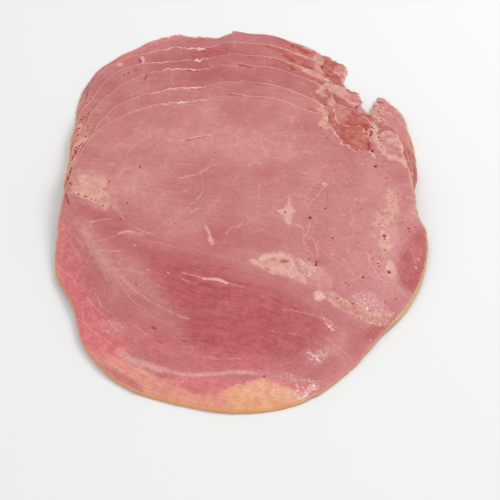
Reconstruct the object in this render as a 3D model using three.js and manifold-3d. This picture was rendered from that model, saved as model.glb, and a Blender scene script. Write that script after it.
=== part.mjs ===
// Sliced salt beef: six thin slices of one cured joint, fanned out and lying on each other. Each later
// slice lies on the one before and further to the front, where it bends down to the surface.
// Millimetres, +Z up, +X to the right, +Y to the back. The origin is the middle of the footprint of the
// whole stack, on the surface that it rests on.
import * as THREE from "three";
import { mergeVertices } from "three/addons/utils/BufferGeometryUtils.js";
import Module from "manifold-3d";

const wasm = await Module();
wasm.setup();

// Driving sizes
const THICKNESS = 1.5; // of one slice
const SLACK = 0.3; // left between two slices
const LAYER = THICKNESS + SLACK; // what one slice adds to the height of the pile
const EDGE_REACH = 3; // a slice stays up this far past the edge of the one below
const EDGE_FALL = 12; // then bends down over this distance

// The section of the joint that every slice is cut from, seen from above: how far its edge is from its
// middle, every 15 degrees from the right (0) by the back (90), the left (180) and the front (270).
const SECTION_RADII = [
  88, 87.5, 92, 90, 93, 98, 101.5, 102, 105, 103.5, 96, 90.5,
  88, 88.5, 87.5, 96, 101, 101, 102, 100, 92.5, 86.5, 87, 87.5,
];
const RADIUS_STEP_DEG = 360 / SECTION_RADII.length;

// Shallow places in the edge of every slice: bearing and half width in degrees, depth in mm.
const SECTION_DENTS = [
  { at: 103, half: 8, depth: 2 }, // a small step in the back edge
  { at: 94, half: 8, depth: -0.8 },
  { at: 43, half: 8, depth: 4 }, // the torn corner at the back right
];

// The slices from the first one laid, at the bottom and furthest back, to the last one on top. shift is
// where the middle of its section lies, and dents are its own, beside those of the section. tears are
// torn into its corner at the back right: a tip, from the middle of the section, and the bearing and half
// width in degrees of the mouth that opens from it.
const SLICES = [
  {
    name: "slice_1",
    shift: [0, 67.7],
    dents: [
      { at: 150, half: 24, depth: -2.5 },
      { at: 110, half: 14, depth: -3 },
      { at: 98, half: 5, depth: 3.5 },
      { at: 44, half: 7, depth: 12 },
      { at: 28, half: 19, depth: 23.5 },
    ],
    tears: [],
    colour: 0xc27276,
  },
  {
    name: "slice_2",
    shift: [0, 56],
    dents: [
      { at: 180, half: 20, depth: 1.5 },
      { at: 133, half: 22, depth: -4.5 },
      { at: 112, half: 7, depth: -1.5 },
      { at: 48, half: 8, depth: 6 },
      { at: 20, half: 12, depth: -2 },
      { at: 340, half: 22, depth: 3 },
    ],
    tears: [{ tip: [66.5, 38.9], at: 41.5, half: 4 }],
    colour: 0xc4787b,
  },
  {
    name: "slice_3",
    shift: [0, 42.6],
    dents: [
      { at: 178, half: 24, depth: 1.5 },
      { at: 150, half: 20, depth: -2.5 },
      { at: 127, half: 17, depth: -5 },
      { at: 45, half: 5, depth: -2.5 },
      { at: 40, half: 3, depth: 5 },
      { at: 24, half: 16, depth: -2.8 },
      { at: 345, half: 22, depth: 4 },
    ],
    tears: [
      { tip: [58.8, 56.3], at: 41.5, half: 1 },
      { tip: [66, 49.6], at: 37.75, half: 1 },
    ],
    colour: 0xc5797c,
  },
  {
    name: "slice_4",
    shift: [0, 31],
    dents: [
      { at: 178, half: 28, depth: 2 },
      { at: 148, half: 14, depth: 1.5 },
      { at: 116, half: 20, depth: -2.5 },
      { at: 49, half: 8, depth: 7 },
      { at: 357, half: 18, depth: 4.5 },
    ],
    tears: [{ tip: [65, 53], at: 40, half: 2 }],
    colour: 0xc67c7f,
  },
  {
    name: "slice_5",
    shift: [-0.5, 13.3],
    dents: [
      { at: 178, half: 26, depth: 2.5 },
      { at: 142, half: 16, depth: 4 },
      { at: 51, half: 8, depth: 8.5 },
      { at: 37, half: 12, depth: -6 },
      { at: 4, half: 14, depth: 3 },
    ],
    tears: [{ tip: [64.8, 57.1], at: 41.5, half: 2 }],
    colour: 0xc87f81,
  },
  {
    name: "slice_6",
    shift: [0, 0],
    dents: [
      { at: 178, half: 18, depth: 0.6 },
      { at: 160, half: 14, depth: 1.2 },
      { at: 62, half: 4, depth: -1.5 },
      { at: 52, half: 8, depth: 9 },
      { at: 28, half: 8, depth: -1.5 },
      { at: 9, half: 7, depth: 2.5 },
    ],
    tears: [{ tip: [67.7, 50.8], at: 40, half: 1 }],
    colour: 0xc97f80,
  },
];

// Outline points: one every OUTLINE_STEP_DEG, and closer in the torn corner.
const OUTLINE_STEP_DEG = 4;
const TORN_STEP_DEG = 1.5;
const TORN_FROM_DEG = 22;
const TORN_TO_DEG = 64;

// Lines of the grid that the draped faces are made on. All slices use the same lines, so that a slice
// never touches the next one between them. The grid is fine where the slices step down to the surface,
// along the front and both sides, and coarse where they lie flat.
const FINE = 6;
const GRID_X = [...steps(-102, -54, FINE), ...steps(-54, 36, 15), ...steps(36, 96, FINE), 96];
const GRID_Y = [...steps(-104, -8, FINE), ...steps(-8, 190, 18), 190];

// Numbers from start up to, and without, end.
function steps(start, end, step) {
  return Array.from({ length: Math.ceil((end - start) / step) }, (_, i) => start + i * step);
}

// Smooth 0 to 1.
function ease(t) {
  return THREE.MathUtils.smoothstep(t, 0, 1);
}

// The angle from one bearing to another, -180 to 180.
function turn(fromDeg, toDeg) {
  return THREE.MathUtils.euclideanModulo(toDeg - fromDeg + 180, 360) - 180;
}

// The smooth edge of the section: a closed Catmull-Rom curve through its radii.
function sectionRadius(bearing) {
  const place = THREE.MathUtils.euclideanModulo(bearing, 360) / RADIUS_STEP_DEG;
  const i = Math.floor(place);
  const t = place - i;
  const count = SECTION_RADII.length;
  const [a, b, c, d] = [-1, 0, 1, 2].map((k) => SECTION_RADII[(i + k + count) % count]);
  const cubic = (3 * b - a - 3 * c + d) * t ** 3;
  const square = (2 * a - 5 * b + 4 * c - d) * t ** 2;
  return (2 * b + (c - a) * t + square + cubic) / 2;
}

// The edge of one slice at a bearing, with every dent in it.
function sliceRadius(slice, bearing) {
  const dents = [...SECTION_DENTS, ...slice.dents];
  const cut = dents.map((dent) => dent.depth * ease(1 - Math.abs(turn(dent.at, bearing)) / dent.half));
  return cut.reduce((radius, depth) => radius - depth, sectionRadius(bearing));
}

// Bearings around the outline, closer together in the torn corner.
function outlineBearings() {
  const before = steps(0, TORN_FROM_DEG, OUTLINE_STEP_DEG);
  const torn = steps(TORN_FROM_DEG, TORN_TO_DEG, TORN_STEP_DEG);
  return [...before, ...torn, ...steps(TORN_TO_DEG, 360, OUTLINE_STEP_DEG)];
}

// The outline of one slice from its section's middle. The points in the mouth of a tear give way to its
// tip.
function outline(slice) {
  const points = outlineBearings().map((bearing) => {
    const tear = slice.tears.find((each) => Math.abs(turn(each.at, bearing)) < each.half);
    if (tear) return new THREE.Vector2(...tear.tip);
    const angle = THREE.MathUtils.degToRad(bearing);
    const radius = sliceRadius(slice, bearing);
    return new THREE.Vector2(radius * Math.cos(angle), radius * Math.sin(angle));
  });
  return points.filter((point, i) => i === 0 || !point.equals(points[i - 1]));
}

// 1 over a slice and a little past its edge, falling to 0 further out. A slice above spans the dents.
function cover(slice, x, y) {
  const from = new THREE.Vector2(x - slice.shift[0], y - slice.shift[1]);
  const bearing = THREE.MathUtils.radToDeg(from.angle());
  const edge = Math.max(sectionRadius(bearing), sliceRadius(slice, bearing));
  return 1 - ease((from.length() - edge - EDGE_REACH) / EDGE_FALL);
}

// The height that a slice lies at: one layer for each slice under it, where that slice is.
function underside(index, x, y) {
  return SLICES.slice(0, index).reduce((height, below) => height + LAYER * cover(below, x, y), 0);
}

// A geometry with only positions and shared vertices, as a solid.
function toSolid(geometry) {
  const bare = geometry.clone();
  bare.deleteAttribute("normal");
  bare.deleteAttribute("uv");
  const merged = mergeVertices(bare, 1e-4);
  const vertProperties = merged.getAttribute("position").array;
  const triVerts = new Uint32Array(merged.index.array);
  return new wasm.Manifold(new wasm.Mesh({ numProp: 3, vertProperties, triVerts }));
}

// A solid back as a geometry with flat faces.
function toGeometry(solid) {
  const mesh = solid.getMesh();
  const geometry = new THREE.BufferGeometry();
  geometry.setAttribute("position", new THREE.BufferAttribute(mesh.vertProperties, 3));
  geometry.setIndex(new THREE.BufferAttribute(mesh.triVerts, 1));
  const flat = geometry.toNonIndexed();
  flat.computeVertexNormals();
  return flat;
}

// The whole layer that a slice is cut from: a closed sheet on the grid, as thick as a slice, draped over
// the slices below.
function layerGeometry(index) {
  const rows = GRID_Y.length;
  const corner = (i, j, upper) => 2 * (i * rows + j) + upper;
  const positions = [];
  const faces = [];
  const quad = (a, b, c, d) => faces.push(a, b, c, a, c, d);
  for (const x of GRID_X) {
    for (const y of GRID_Y) {
      const z = underside(index, x, y);
      positions.push(x, y, z, x, y, z + THICKNESS);
    }
  }
  const lastX = GRID_X.length - 1;
  const lastY = rows - 1;
  for (let i = 0; i < lastX; i += 1) {
    for (let j = 0; j < lastY; j += 1) {
      quad(corner(i, j, 1), corner(i + 1, j, 1), corner(i + 1, j + 1, 1), corner(i, j + 1, 1));
      quad(corner(i, j, 0), corner(i, j + 1, 0), corner(i + 1, j + 1, 0), corner(i + 1, j, 0));
    }
    quad(corner(i, 0, 0), corner(i + 1, 0, 0), corner(i + 1, 0, 1), corner(i, 0, 1));
    quad(corner(i + 1, lastY, 0), corner(i, lastY, 0), corner(i, lastY, 1), corner(i + 1, lastY, 1));
  }
  for (let j = 0; j < lastY; j += 1) {
    quad(corner(0, j + 1, 0), corner(0, j, 0), corner(0, j, 1), corner(0, j + 1, 1));
    quad(corner(lastX, j, 0), corner(lastX, j + 1, 0), corner(lastX, j + 1, 1), corner(lastX, j, 1));
  }
  const geometry = new THREE.BufferGeometry();
  geometry.setAttribute("position", new THREE.Float32BufferAttribute(positions, 3));
  geometry.setIndex(faces);
  return geometry;
}

// The outline of a slice as an upright block, from depth below the surface to height above it.
function blockGeometry(slice, bottom, height) {
  const shape = new THREE.Shape(outline(slice));
  const geometry = new THREE.ExtrudeGeometry(shape, { depth: height, bevelEnabled: false });
  return geometry.translate(slice.shift[0], slice.shift[1], bottom);
}

// One slice: its outline cut out of its layer. The first slice lies flat, so it is the plain block.
function sliceGeometry(slice, index) {
  if (index === 0) return blockGeometry(slice, 0, THICKNESS);
  const clearance = 1; // the block reaches past the layer on both sides
  const block = blockGeometry(slice, -clearance, SLICES.length * LAYER + 2 * clearance);
  return toGeometry(toSolid(layerGeometry(index)).intersect(toSolid(block)));
}

function buildStack() {
  const stack = new THREE.Group();
  SLICES.forEach((slice, index) => {
    const material = new THREE.MeshStandardMaterial({ color: slice.colour, roughness: 0.42, metalness: 0 });
    const mesh = new THREE.Mesh(sliceGeometry(slice, index), material);
    mesh.name = slice.name;
    stack.add(mesh);
  });
  const middle = new THREE.Box3().setFromObject(stack).getCenter(new THREE.Vector3());
  stack.position.set(-middle.x, -middle.y, 0);
  const group = new THREE.Group();
  group.add(stack);
  return group;
}

const group = buildStack();

export default group;
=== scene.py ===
"""Sliced salt beef: thin slices of one cured, cooked joint, fanned out and lying on each other.

Sizes are in millimetres and meshes are made in metres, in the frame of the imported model: +X to the right,
+Y to the back, +Z up. Every slice is cut from the same joint, so its seams, fat and pits are placed from
the middle of the joint's section, and each slice repeats them.
"""

from __future__ import annotations

import logging
import math
from dataclasses import dataclass, field
from enum import Enum

import bpy
import numpy as np
from mathutils import Matrix, Vector
from mathutils.geometry import delaunay_2d_cdt


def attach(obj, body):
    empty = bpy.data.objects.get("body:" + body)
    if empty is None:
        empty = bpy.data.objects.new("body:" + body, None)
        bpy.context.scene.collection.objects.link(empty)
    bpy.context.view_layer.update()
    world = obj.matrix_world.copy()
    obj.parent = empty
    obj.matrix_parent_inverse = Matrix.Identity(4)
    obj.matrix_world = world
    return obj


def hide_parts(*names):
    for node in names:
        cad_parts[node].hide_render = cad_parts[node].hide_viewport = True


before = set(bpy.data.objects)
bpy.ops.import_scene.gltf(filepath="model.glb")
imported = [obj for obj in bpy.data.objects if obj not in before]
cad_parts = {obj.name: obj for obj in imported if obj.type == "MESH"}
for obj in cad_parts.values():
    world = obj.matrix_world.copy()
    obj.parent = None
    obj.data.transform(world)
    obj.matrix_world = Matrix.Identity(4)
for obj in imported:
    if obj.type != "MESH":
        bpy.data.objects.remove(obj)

log = logging.getLogger("salt_beef")

MM = 0.001  # metres in a millimetre
ROW_SPACING = 0.866  # between rows of even triangles, in shares of their side
STACK_MIDDLE = (0.09, -34.03)  # the top section's middle, from the middle of the stack's footprint

Array = np.ndarray
Points = tuple[tuple[float, float], ...]


def ease(value: Array) -> Array:
    """Goes smoothly from 0 to 1 while the value does."""
    t = np.clip(value, 0.0, 1.0)
    return t * t * (3.0 - 2.0 * t)


def turn(start: float, bearings: Array) -> Array:
    """The angle from one bearing to others, in degrees from -180 to 180."""
    return (bearings - start + 180.0) % 360.0 - 180.0


@dataclass(frozen=True)
class Window:
    """A stretch of bearings, in degrees, with soft ends."""

    start: float
    rise: float
    end: float
    fall: float

    def at(self, bearings: Array) -> Array:
        """1 inside the stretch and 0 outside."""
        return ease((bearings - self.start) / self.rise) * ease((self.end - bearings) / self.fall)


TORN_CORNER = Window(24.0, 8.0, 66.0, 6.0)
FRAYED_BACK = Window(98.0, 4.0, 120.0, 7.0)
LEFT_SIDE = Window(118.0, 8.0, 204.0, 10.0)
FRONT_SIDE = Window(200.0, 15.0, 302.0, 12.0)


def linear(hex_colour: int) -> tuple[float, float, float, float]:
    """Turns an sRGB hex value to the linear colour that shaders take.

    Args:
        hex_colour: the colour, such as 0xFF8800.

    Returns:
        Its red, green, blue and alpha.
    """
    channels = [((hex_colour >> shift) & 255) / 255.0 for shift in (16, 8, 0)]
    straight = [c / 12.92 if c <= 0.04045 else ((c + 0.055) / 1.055) ** 2.4 for c in channels]
    return straight[0], straight[1], straight[2], 1.0


def smooth_curve(points: Points, closed: bool, steps: int = 4) -> Array:
    """Rounds a few points to a Catmull-Rom curve.

    Args:
        points: the curve's own points, in mm.
        closed: whether the last point joins the first.
        steps: pieces that each span is cut into.

    Returns:
        The points of the curve, one row each.
    """
    given = np.array(points, float)
    if len(given) < 3:
        return given
    before, after = (given[-1:], given[:2]) if closed else (given[:1], given[-1:])
    padded = np.vstack([before, given, after])
    spans = len(padded) - 3
    made = []
    for i in range(spans):
        a, b, c, d = padded[i : i + 4]
        for t in np.arange(steps) / steps:
            cubic = (3 * b - a - 3 * c + d) * t**3
            made.append((2 * b + (c - a) * t + (2 * a - 5 * b + 4 * c - d) * t**2 + cubic) / 2)
    if not closed:
        made.append(given[-1])
    return np.array(made)


def distance_to(path: Array, x: Array, y: Array, closed: bool, reach: float = 8.0) -> Array:
    """The distance of places from a path.

    Args:
        path: the path's points, one row each.
        x: the places' x.
        y: the places' y.
        closed: whether the path's last point joins its first.
        reach: places further away than this are given this distance.

    Returns:
        One distance in mm for each place.
    """
    starts = path if closed else path[:-1]
    ends = np.roll(path, -1, axis=0) if closed else path[1:]
    nearest = np.full(x.shape, reach * reach)
    for first in range(0, len(starts), 12):
        part = slice(first, first + 12)
        both = np.vstack([starts[part], ends[part]])
        low, high = both.min(axis=0) - reach, both.max(axis=0) + reach
        close = np.flatnonzero((x > low[0]) & (x < high[0]) & (y > low[1]) & (y < high[1]))
        px, py, best = x[close], y[close], nearest[close]
        for (ax, ay), (bx, by) in zip(starts[part], ends[part]):
            dx, dy = bx - ax, by - ay
            length2 = max(dx * dx + dy * dy, 1e-9)
            along = np.clip(((px - ax) * dx + (py - ay) * dy) / length2, 0.0, 1.0)
            best = np.minimum(best, (px - ax - along * dx) ** 2 + (py - ay - along * dy) ** 2)
        nearest[close] = best
    return np.sqrt(nearest)


def inside(loop: Array, x: Array, y: Array) -> Array:
    """Tells which places are inside a closed loop, by the number of its sides to their right.

    Args:
        loop: the loop's points, one row each.
        x: the places' x.
        y: the places' y.

    Returns:
        True for each place inside.
    """
    low, high = loop.min(axis=0), loop.max(axis=0)
    close = np.flatnonzero((x > low[0]) & (x < high[0]) & (y > low[1]) & (y < high[1]))
    px, py = x[close], y[close]
    odd = np.zeros(px.shape, bool)
    for (ax, ay), (bx, by) in zip(loop, np.roll(loop, -1, axis=0)):
        if ay == by:
            continue
        odd ^= ((ay > py) != (by > py)) & (px < (bx - ax) * (py - ay) / (by - ay) + ax)
    within = np.zeros(x.shape, bool)
    within[close] = odd
    return within


class Ripples:
    """A soft random relief: waves of many directions, with heights from about -1 to 1."""

    def __init__(self, seed: int, shortest: float, longest: float, waves: int = 24) -> None:
        """Picks the waves.

        Args:
            seed: gives the same relief again.
            shortest: the shortest wave in mm.
            longest: the longest wave in mm.
            waves: how many waves are added up.
        """
        random = np.random.default_rng(seed)
        lengths = np.exp(random.uniform(math.log(shortest), math.log(longest), waves))
        angles = random.uniform(0.0, 2.0 * math.pi, waves)
        self.kx = 2.0 * math.pi / lengths * np.cos(angles)
        self.ky = 2.0 * math.pi / lengths * np.sin(angles)
        self.phase = random.uniform(0.0, 2.0 * math.pi, waves)
        self.size = 1.4 / math.sqrt(waves)

    def at(self, x: Array, y: Array) -> Array:
        """The relief's height at places.

        Args:
            x: the places' x in mm.
            y: the places' y in mm.

        Returns:
            The heights.
        """
        total = np.zeros(x.shape)
        for kx, ky, phase in zip(self.kx, self.ky, self.phase):
            total += np.cos(kx * x + ky * y + phase)
        return total * self.size


class Kind(Enum):
    """What a mark on the meat is. The value names the vertex attribute that the finish reads."""

    FAT = "fat"  # cream fat between the muscles
    CAP = "cap"  # the orange fat that covers the joint's front
    SINEW = "sinew"  # bare brown-red skin between torn muscles
    LEAN = "lean"  # darker, redder muscle
    RUDDY = "ruddy"  # bright pink-red muscle near the edge
    PALE_AND_SHEEN = "pale"  # paler muscle where the fibres fan out, and painted sheen on the large muscle
    SALMON = "salmon"  # muscle stained orange by the fat beside it
    GOLD = "gold"  # the yellowest part of the fat cap
    VEIN_AND_GLINT = "vein"  # thin whitish line: mostly veins, a few painted glints and highlights
    SLIT_AND_SHADE = "slit_and_shade"  # dark red gap; those beside the edges of the slices above are partly painted shade
    SPECK = "speck"  # fat dotted with fine red pits
    WET = "wet"  # moist places that glint: lower roughness, with a painted paler sheen and painted white glints
    PIT = "pit"  # round hole


RIND_NUMBERS = ("rim", "rind_width", "rind_tone", "rind_strength", "fray_highlight")
# The attributes that the finish reads: plain numbers, and places along and across the fibres.
NUMBERS = (*(kind.value for kind in Kind), *RIND_NUMBERS, "warmth_and_shade", "along_front")
DIRECTIONS = ("grain_upper", "grain_lower", "grain_edge")
SUNK = {Kind.FAT: 0.12, Kind.SINEW: 0.25}  # mm, how far they lie under the muscle
SHARP_KINDS = (Kind.FAT, Kind.CAP, Kind.SINEW)  # given as depths, so that the finish draws their edges
DEEPEST = 4.0  # mm, the depth inside or outside their outline from which it doesn't matter


@dataclass(frozen=True)
class Dent:
    """A shallow place in the edge of a slice: bearing and half width in degrees, depth in mm."""

    at: float
    half: float
    depth: float


@dataclass(frozen=True)
class Tear:
    """A wedge torn out of a slice's corner: its tip, and the bearing and half width of its mouth."""

    tip: tuple[float, float]
    at: float
    half: float


@dataclass(frozen=True)
class Streak:
    """A line on the meat, full along its middle and gone at its half width."""

    kind: Kind
    points: Points
    width: float = 0.9
    strength: float = 1.0

    def path(self) -> Array:
        """The line's own points, rounded."""
        return smooth_curve(self.points, closed=False)

    def strength_at(self, x: Array, y: Array) -> Array:
        """How strong the line is at places, 0 to 1."""
        return self.strength * ease(1.25 - distance_to(self.path(), x, y, closed=False) / self.width * 1.6)


@dataclass(frozen=True)
class Patch:
    """An area of the section with a rounded outline."""

    kind: Kind
    points: Points
    soft: float = 1.0  # how far its edge fades, in mm
    strength: float = 1.0

    def loop(self) -> Array:
        """The outline, rounded."""
        return smooth_curve(self.points, closed=True)

    def depth_at(self, x: Array, y: Array) -> Array:
        """How far inside the outline places are, in mm, less than 0 outside.

        Args:
            x: places from the section's middle.
            y: places from the section's middle.

        Returns:
            The depths.
        """
        loop = self.loop()
        away = distance_to(loop, x, y, closed=True)
        return np.where(inside(loop, x, y), away, -away)

    def strength_at(self, x: Array, y: Array) -> Array:
        """How strong the patch is at places, 0 to 1, fading over its soft edge."""
        return self.strength * ease(0.5 + self.depth_at(x, y) / (2.0 * self.soft))


@dataclass(frozen=True)
class Pit:
    """A small hole in the face of a slice."""

    at: tuple[float, float]
    radius: float = 0.45
    depth: float = 0.2


@dataclass(frozen=True)
class Marks:
    """What marks a face: its areas, lines and pits, from the middle of the section."""

    patches: tuple[Patch, ...] = ()
    streaks: tuple[Streak, ...] = ()
    pits: tuple[Pit, ...] = ()

    def __add__(self, more: Marks) -> Marks:
        """These marks with more of them."""
        return Marks(self.patches + more.patches, self.streaks + more.streaks, self.pits + more.pits)


def pairs(run: tuple[float, ...]) -> Points:
    """Points from a run of numbers, x and y in turn."""
    return tuple(zip(run[::2], run[1::2]))


def areas(kind: Kind, *rows: tuple) -> Marks:
    """Areas of one kind.

    Args:
        kind: what they are.
        rows: each one's outline as a run of numbers, then how far its edge fades and its strength, where
            they aren't 1.

    Returns:
        The areas as marks.
    """
    return Marks(patches=tuple(Patch(kind, pairs(run), *rest) for run, *rest in rows))


def discs(kind: Kind, *rows: tuple) -> Marks:
    """Round areas of one kind.

    Args:
        kind: what they are.
        rows: each one's x, y and radius, then how far its edge fades and its strength, where they aren't 1.

    Returns:
        The areas as marks.
    """
    turns = np.radians(np.arange(0, 360, 45))
    made = []
    for x, y, radius, *rest in rows:
        around = tuple((x + radius * math.cos(t), y + radius * math.sin(t)) for t in turns)
        made.append(Patch(kind, around, *rest))
    return Marks(patches=tuple(made))


def lines(kind: Kind, *rows: tuple) -> Marks:
    """Lines of one kind.

    Args:
        kind: what they are.
        rows: each one's points as a run of numbers, then its width in mm and its strength, where they
            aren't the usual ones.

    Returns:
        The lines as marks.
    """
    return Marks(streaks=tuple(Streak(kind, pairs(run), *rest) for run, *rest in rows))


def holes(*rows: tuple) -> Marks:
    """Pits, each given by its x, y and radius, then its depth where it isn't the usual one."""
    return Marks(pits=tuple(Pit((x, y), *size) for x, y, *size in rows))


# The marks of the joint's section, as the top slice shows them: its muscles first.
MUSCLES = areas(
    Kind.LEAN,
    # The muscles under the long seam are darker, darkest in the middle and bright pink at the left.
    ((-95, 22, -63, 17, -54, 3, -40, -5, -18, -16, 4, -23, 26, -36, 44, -48, 60, -56, 72, -50, 90, -50,
      60, -115, -75, -115, -100, -40), 1.5, 0.35),
    ((-50, -13, -34, -15, -14, -21, 8, -32, 36, -52, 42, -62, 24, -76, -10, -78, -26, -70,
      -30, -52), 15, 0.98),
    ((-30, -24, -16, -30, 0, -36, 10, -46, -4, -46, -22, -38), 6),
    ((-80, 20, -64, 13, -55, 2, -66, 4, -78, 9), 4, 0.6),
    ((-64, 2, -52, 1, -57, -2, -66, -2), 2, 0.55),
    ((-66, -6, -55, -6, -62, -8.5), 2, 0.5),
    ((54, -58, 66, -54, 63, -60, 56, -66), 3, 0.75),
    ((12, -42, 17, -44, 26, -48, 22, -49, 14, -46), 2, 0.9),
    ((78.5, -4.5, 82.5, 3.5, 90, 10, 92, -10, 88, -24, 80, -34, 73.5, -31.5, 71.5, -25, 72, -18,
      74, -12), 2.5, 0.8),
    ((84, 3, 92, 9, 94, -10, 84, -32, 80, -30, 82, -16), 3, 0.9),
    ((-14, 3, 12, 2, 22, -6, 12, -15, -8, -16, -20, -8), 8, 0.4),
    ((30, -7, 34, -6, 35, -13, 34, -18, 31, -15, 29.5, -10), 1.5, 0.3),
) + areas(
    Kind.RUDDY,
    ((-95, 10, -80, 4, -74, -20, -64, -45, -46, -70, -70, -78, -100, -30), 9, 0.85),
    ((-62, -48, -48, -52, -34, -60, -22, -68, -34, -78, -48, -72, -62, -60), 6, 0.4),
    ((-46, -64, -20, -68, 10, -74, 26, -82, -10, -84, -40, -78), 8, 0.45),
    ((-33.5, -85, -22, -83.7, -9, -84.4, 1, -86, -4.5, -89.5, -11.5, -92.5, -18, -92,
      -26.5, -88.5), 1.2, 0.7),
    ((14, -86, 34, -88, 56, -68, 66, -56, 60, -66, 44, -82, 28, -95), 4, 0.9),
) + areas(
    Kind.PALE_AND_SHEEN,
    # Pale places: where the fibres fan out at the left, and soft clouds of painted sheen on the large
    # muscle.
    ((-78, 8, -70, 0, -58, -16, -48, -26, -34, -38, -48, -40, -62, -26, -72, -10), 5, 0.95),
    ((-46, -36, -34, -40, -14, -54, -26, -55, -40, -46), 4, 0.6),
    ((-56, -2, -50, -1, -46, -4, -54, -6), 2, 0.8),
    # Painted sheen over the upper part of the large muscle.
    ((-50, 74, -20, 78, 6, 76, 36, 58, 26, 48, -10, 54, -46, 56), 12, 0.8),
    ((-70, 46, -44, 46, -42, 16, -60, 16), 12, 0.6),
    ((28, -59, 46, -58, 46, -68, 30, -70), 5, 0.7),
    ((-34, 70, -14, 72, -8, 66, -24, 62), 4, 0.5),
    ((-56, 30, -30, 22, -16, 0, -34, 0, -52, 12), 9, 0.4),
    ((40, 8, 56, 14, 66, -10, 58, -34, 42, -32, 38, -8), 9, 0.3),
    ((60, 42, 78, 36, 82, 14, 66, 2, 60, 20), 8, 0.35),
    ((28, -18, 36, -24, 42, -34, 34, -38, 27, -29), 2.5, 0.9),
    ((15, -59.5, 30, -63, 45, -71, 44, -74, 28, -67, 15, -62), 2.5, 0.7),
    ((-57, -61, -53, -61, -50, -68, -47, -73, -50, -75, -55, -66), 2.2, 0.9),
    ((-64.5, -54, -57, -52, -52, -55.5, -50, -59, -56, -62, -62, -59), 2.5, 0.7),
    # The seam above the fat cap is a soft pale band, widest at its left end.
    ((-53, -70, -46, -73, -35, -78, -25, -81, -12, -81.5, 6, -81, 26, -85, 26, -87, 6, -84, -12, -84,
      -26, -84.5, -36, -82, -48, -77), 1.8),
) + areas(
    Kind.SALMON,
    ((-90, 20, -84, 8, -82, -20, -78, -44, -70, -58, -84, -70, -104, -20), 4, 0.7),
)

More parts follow.
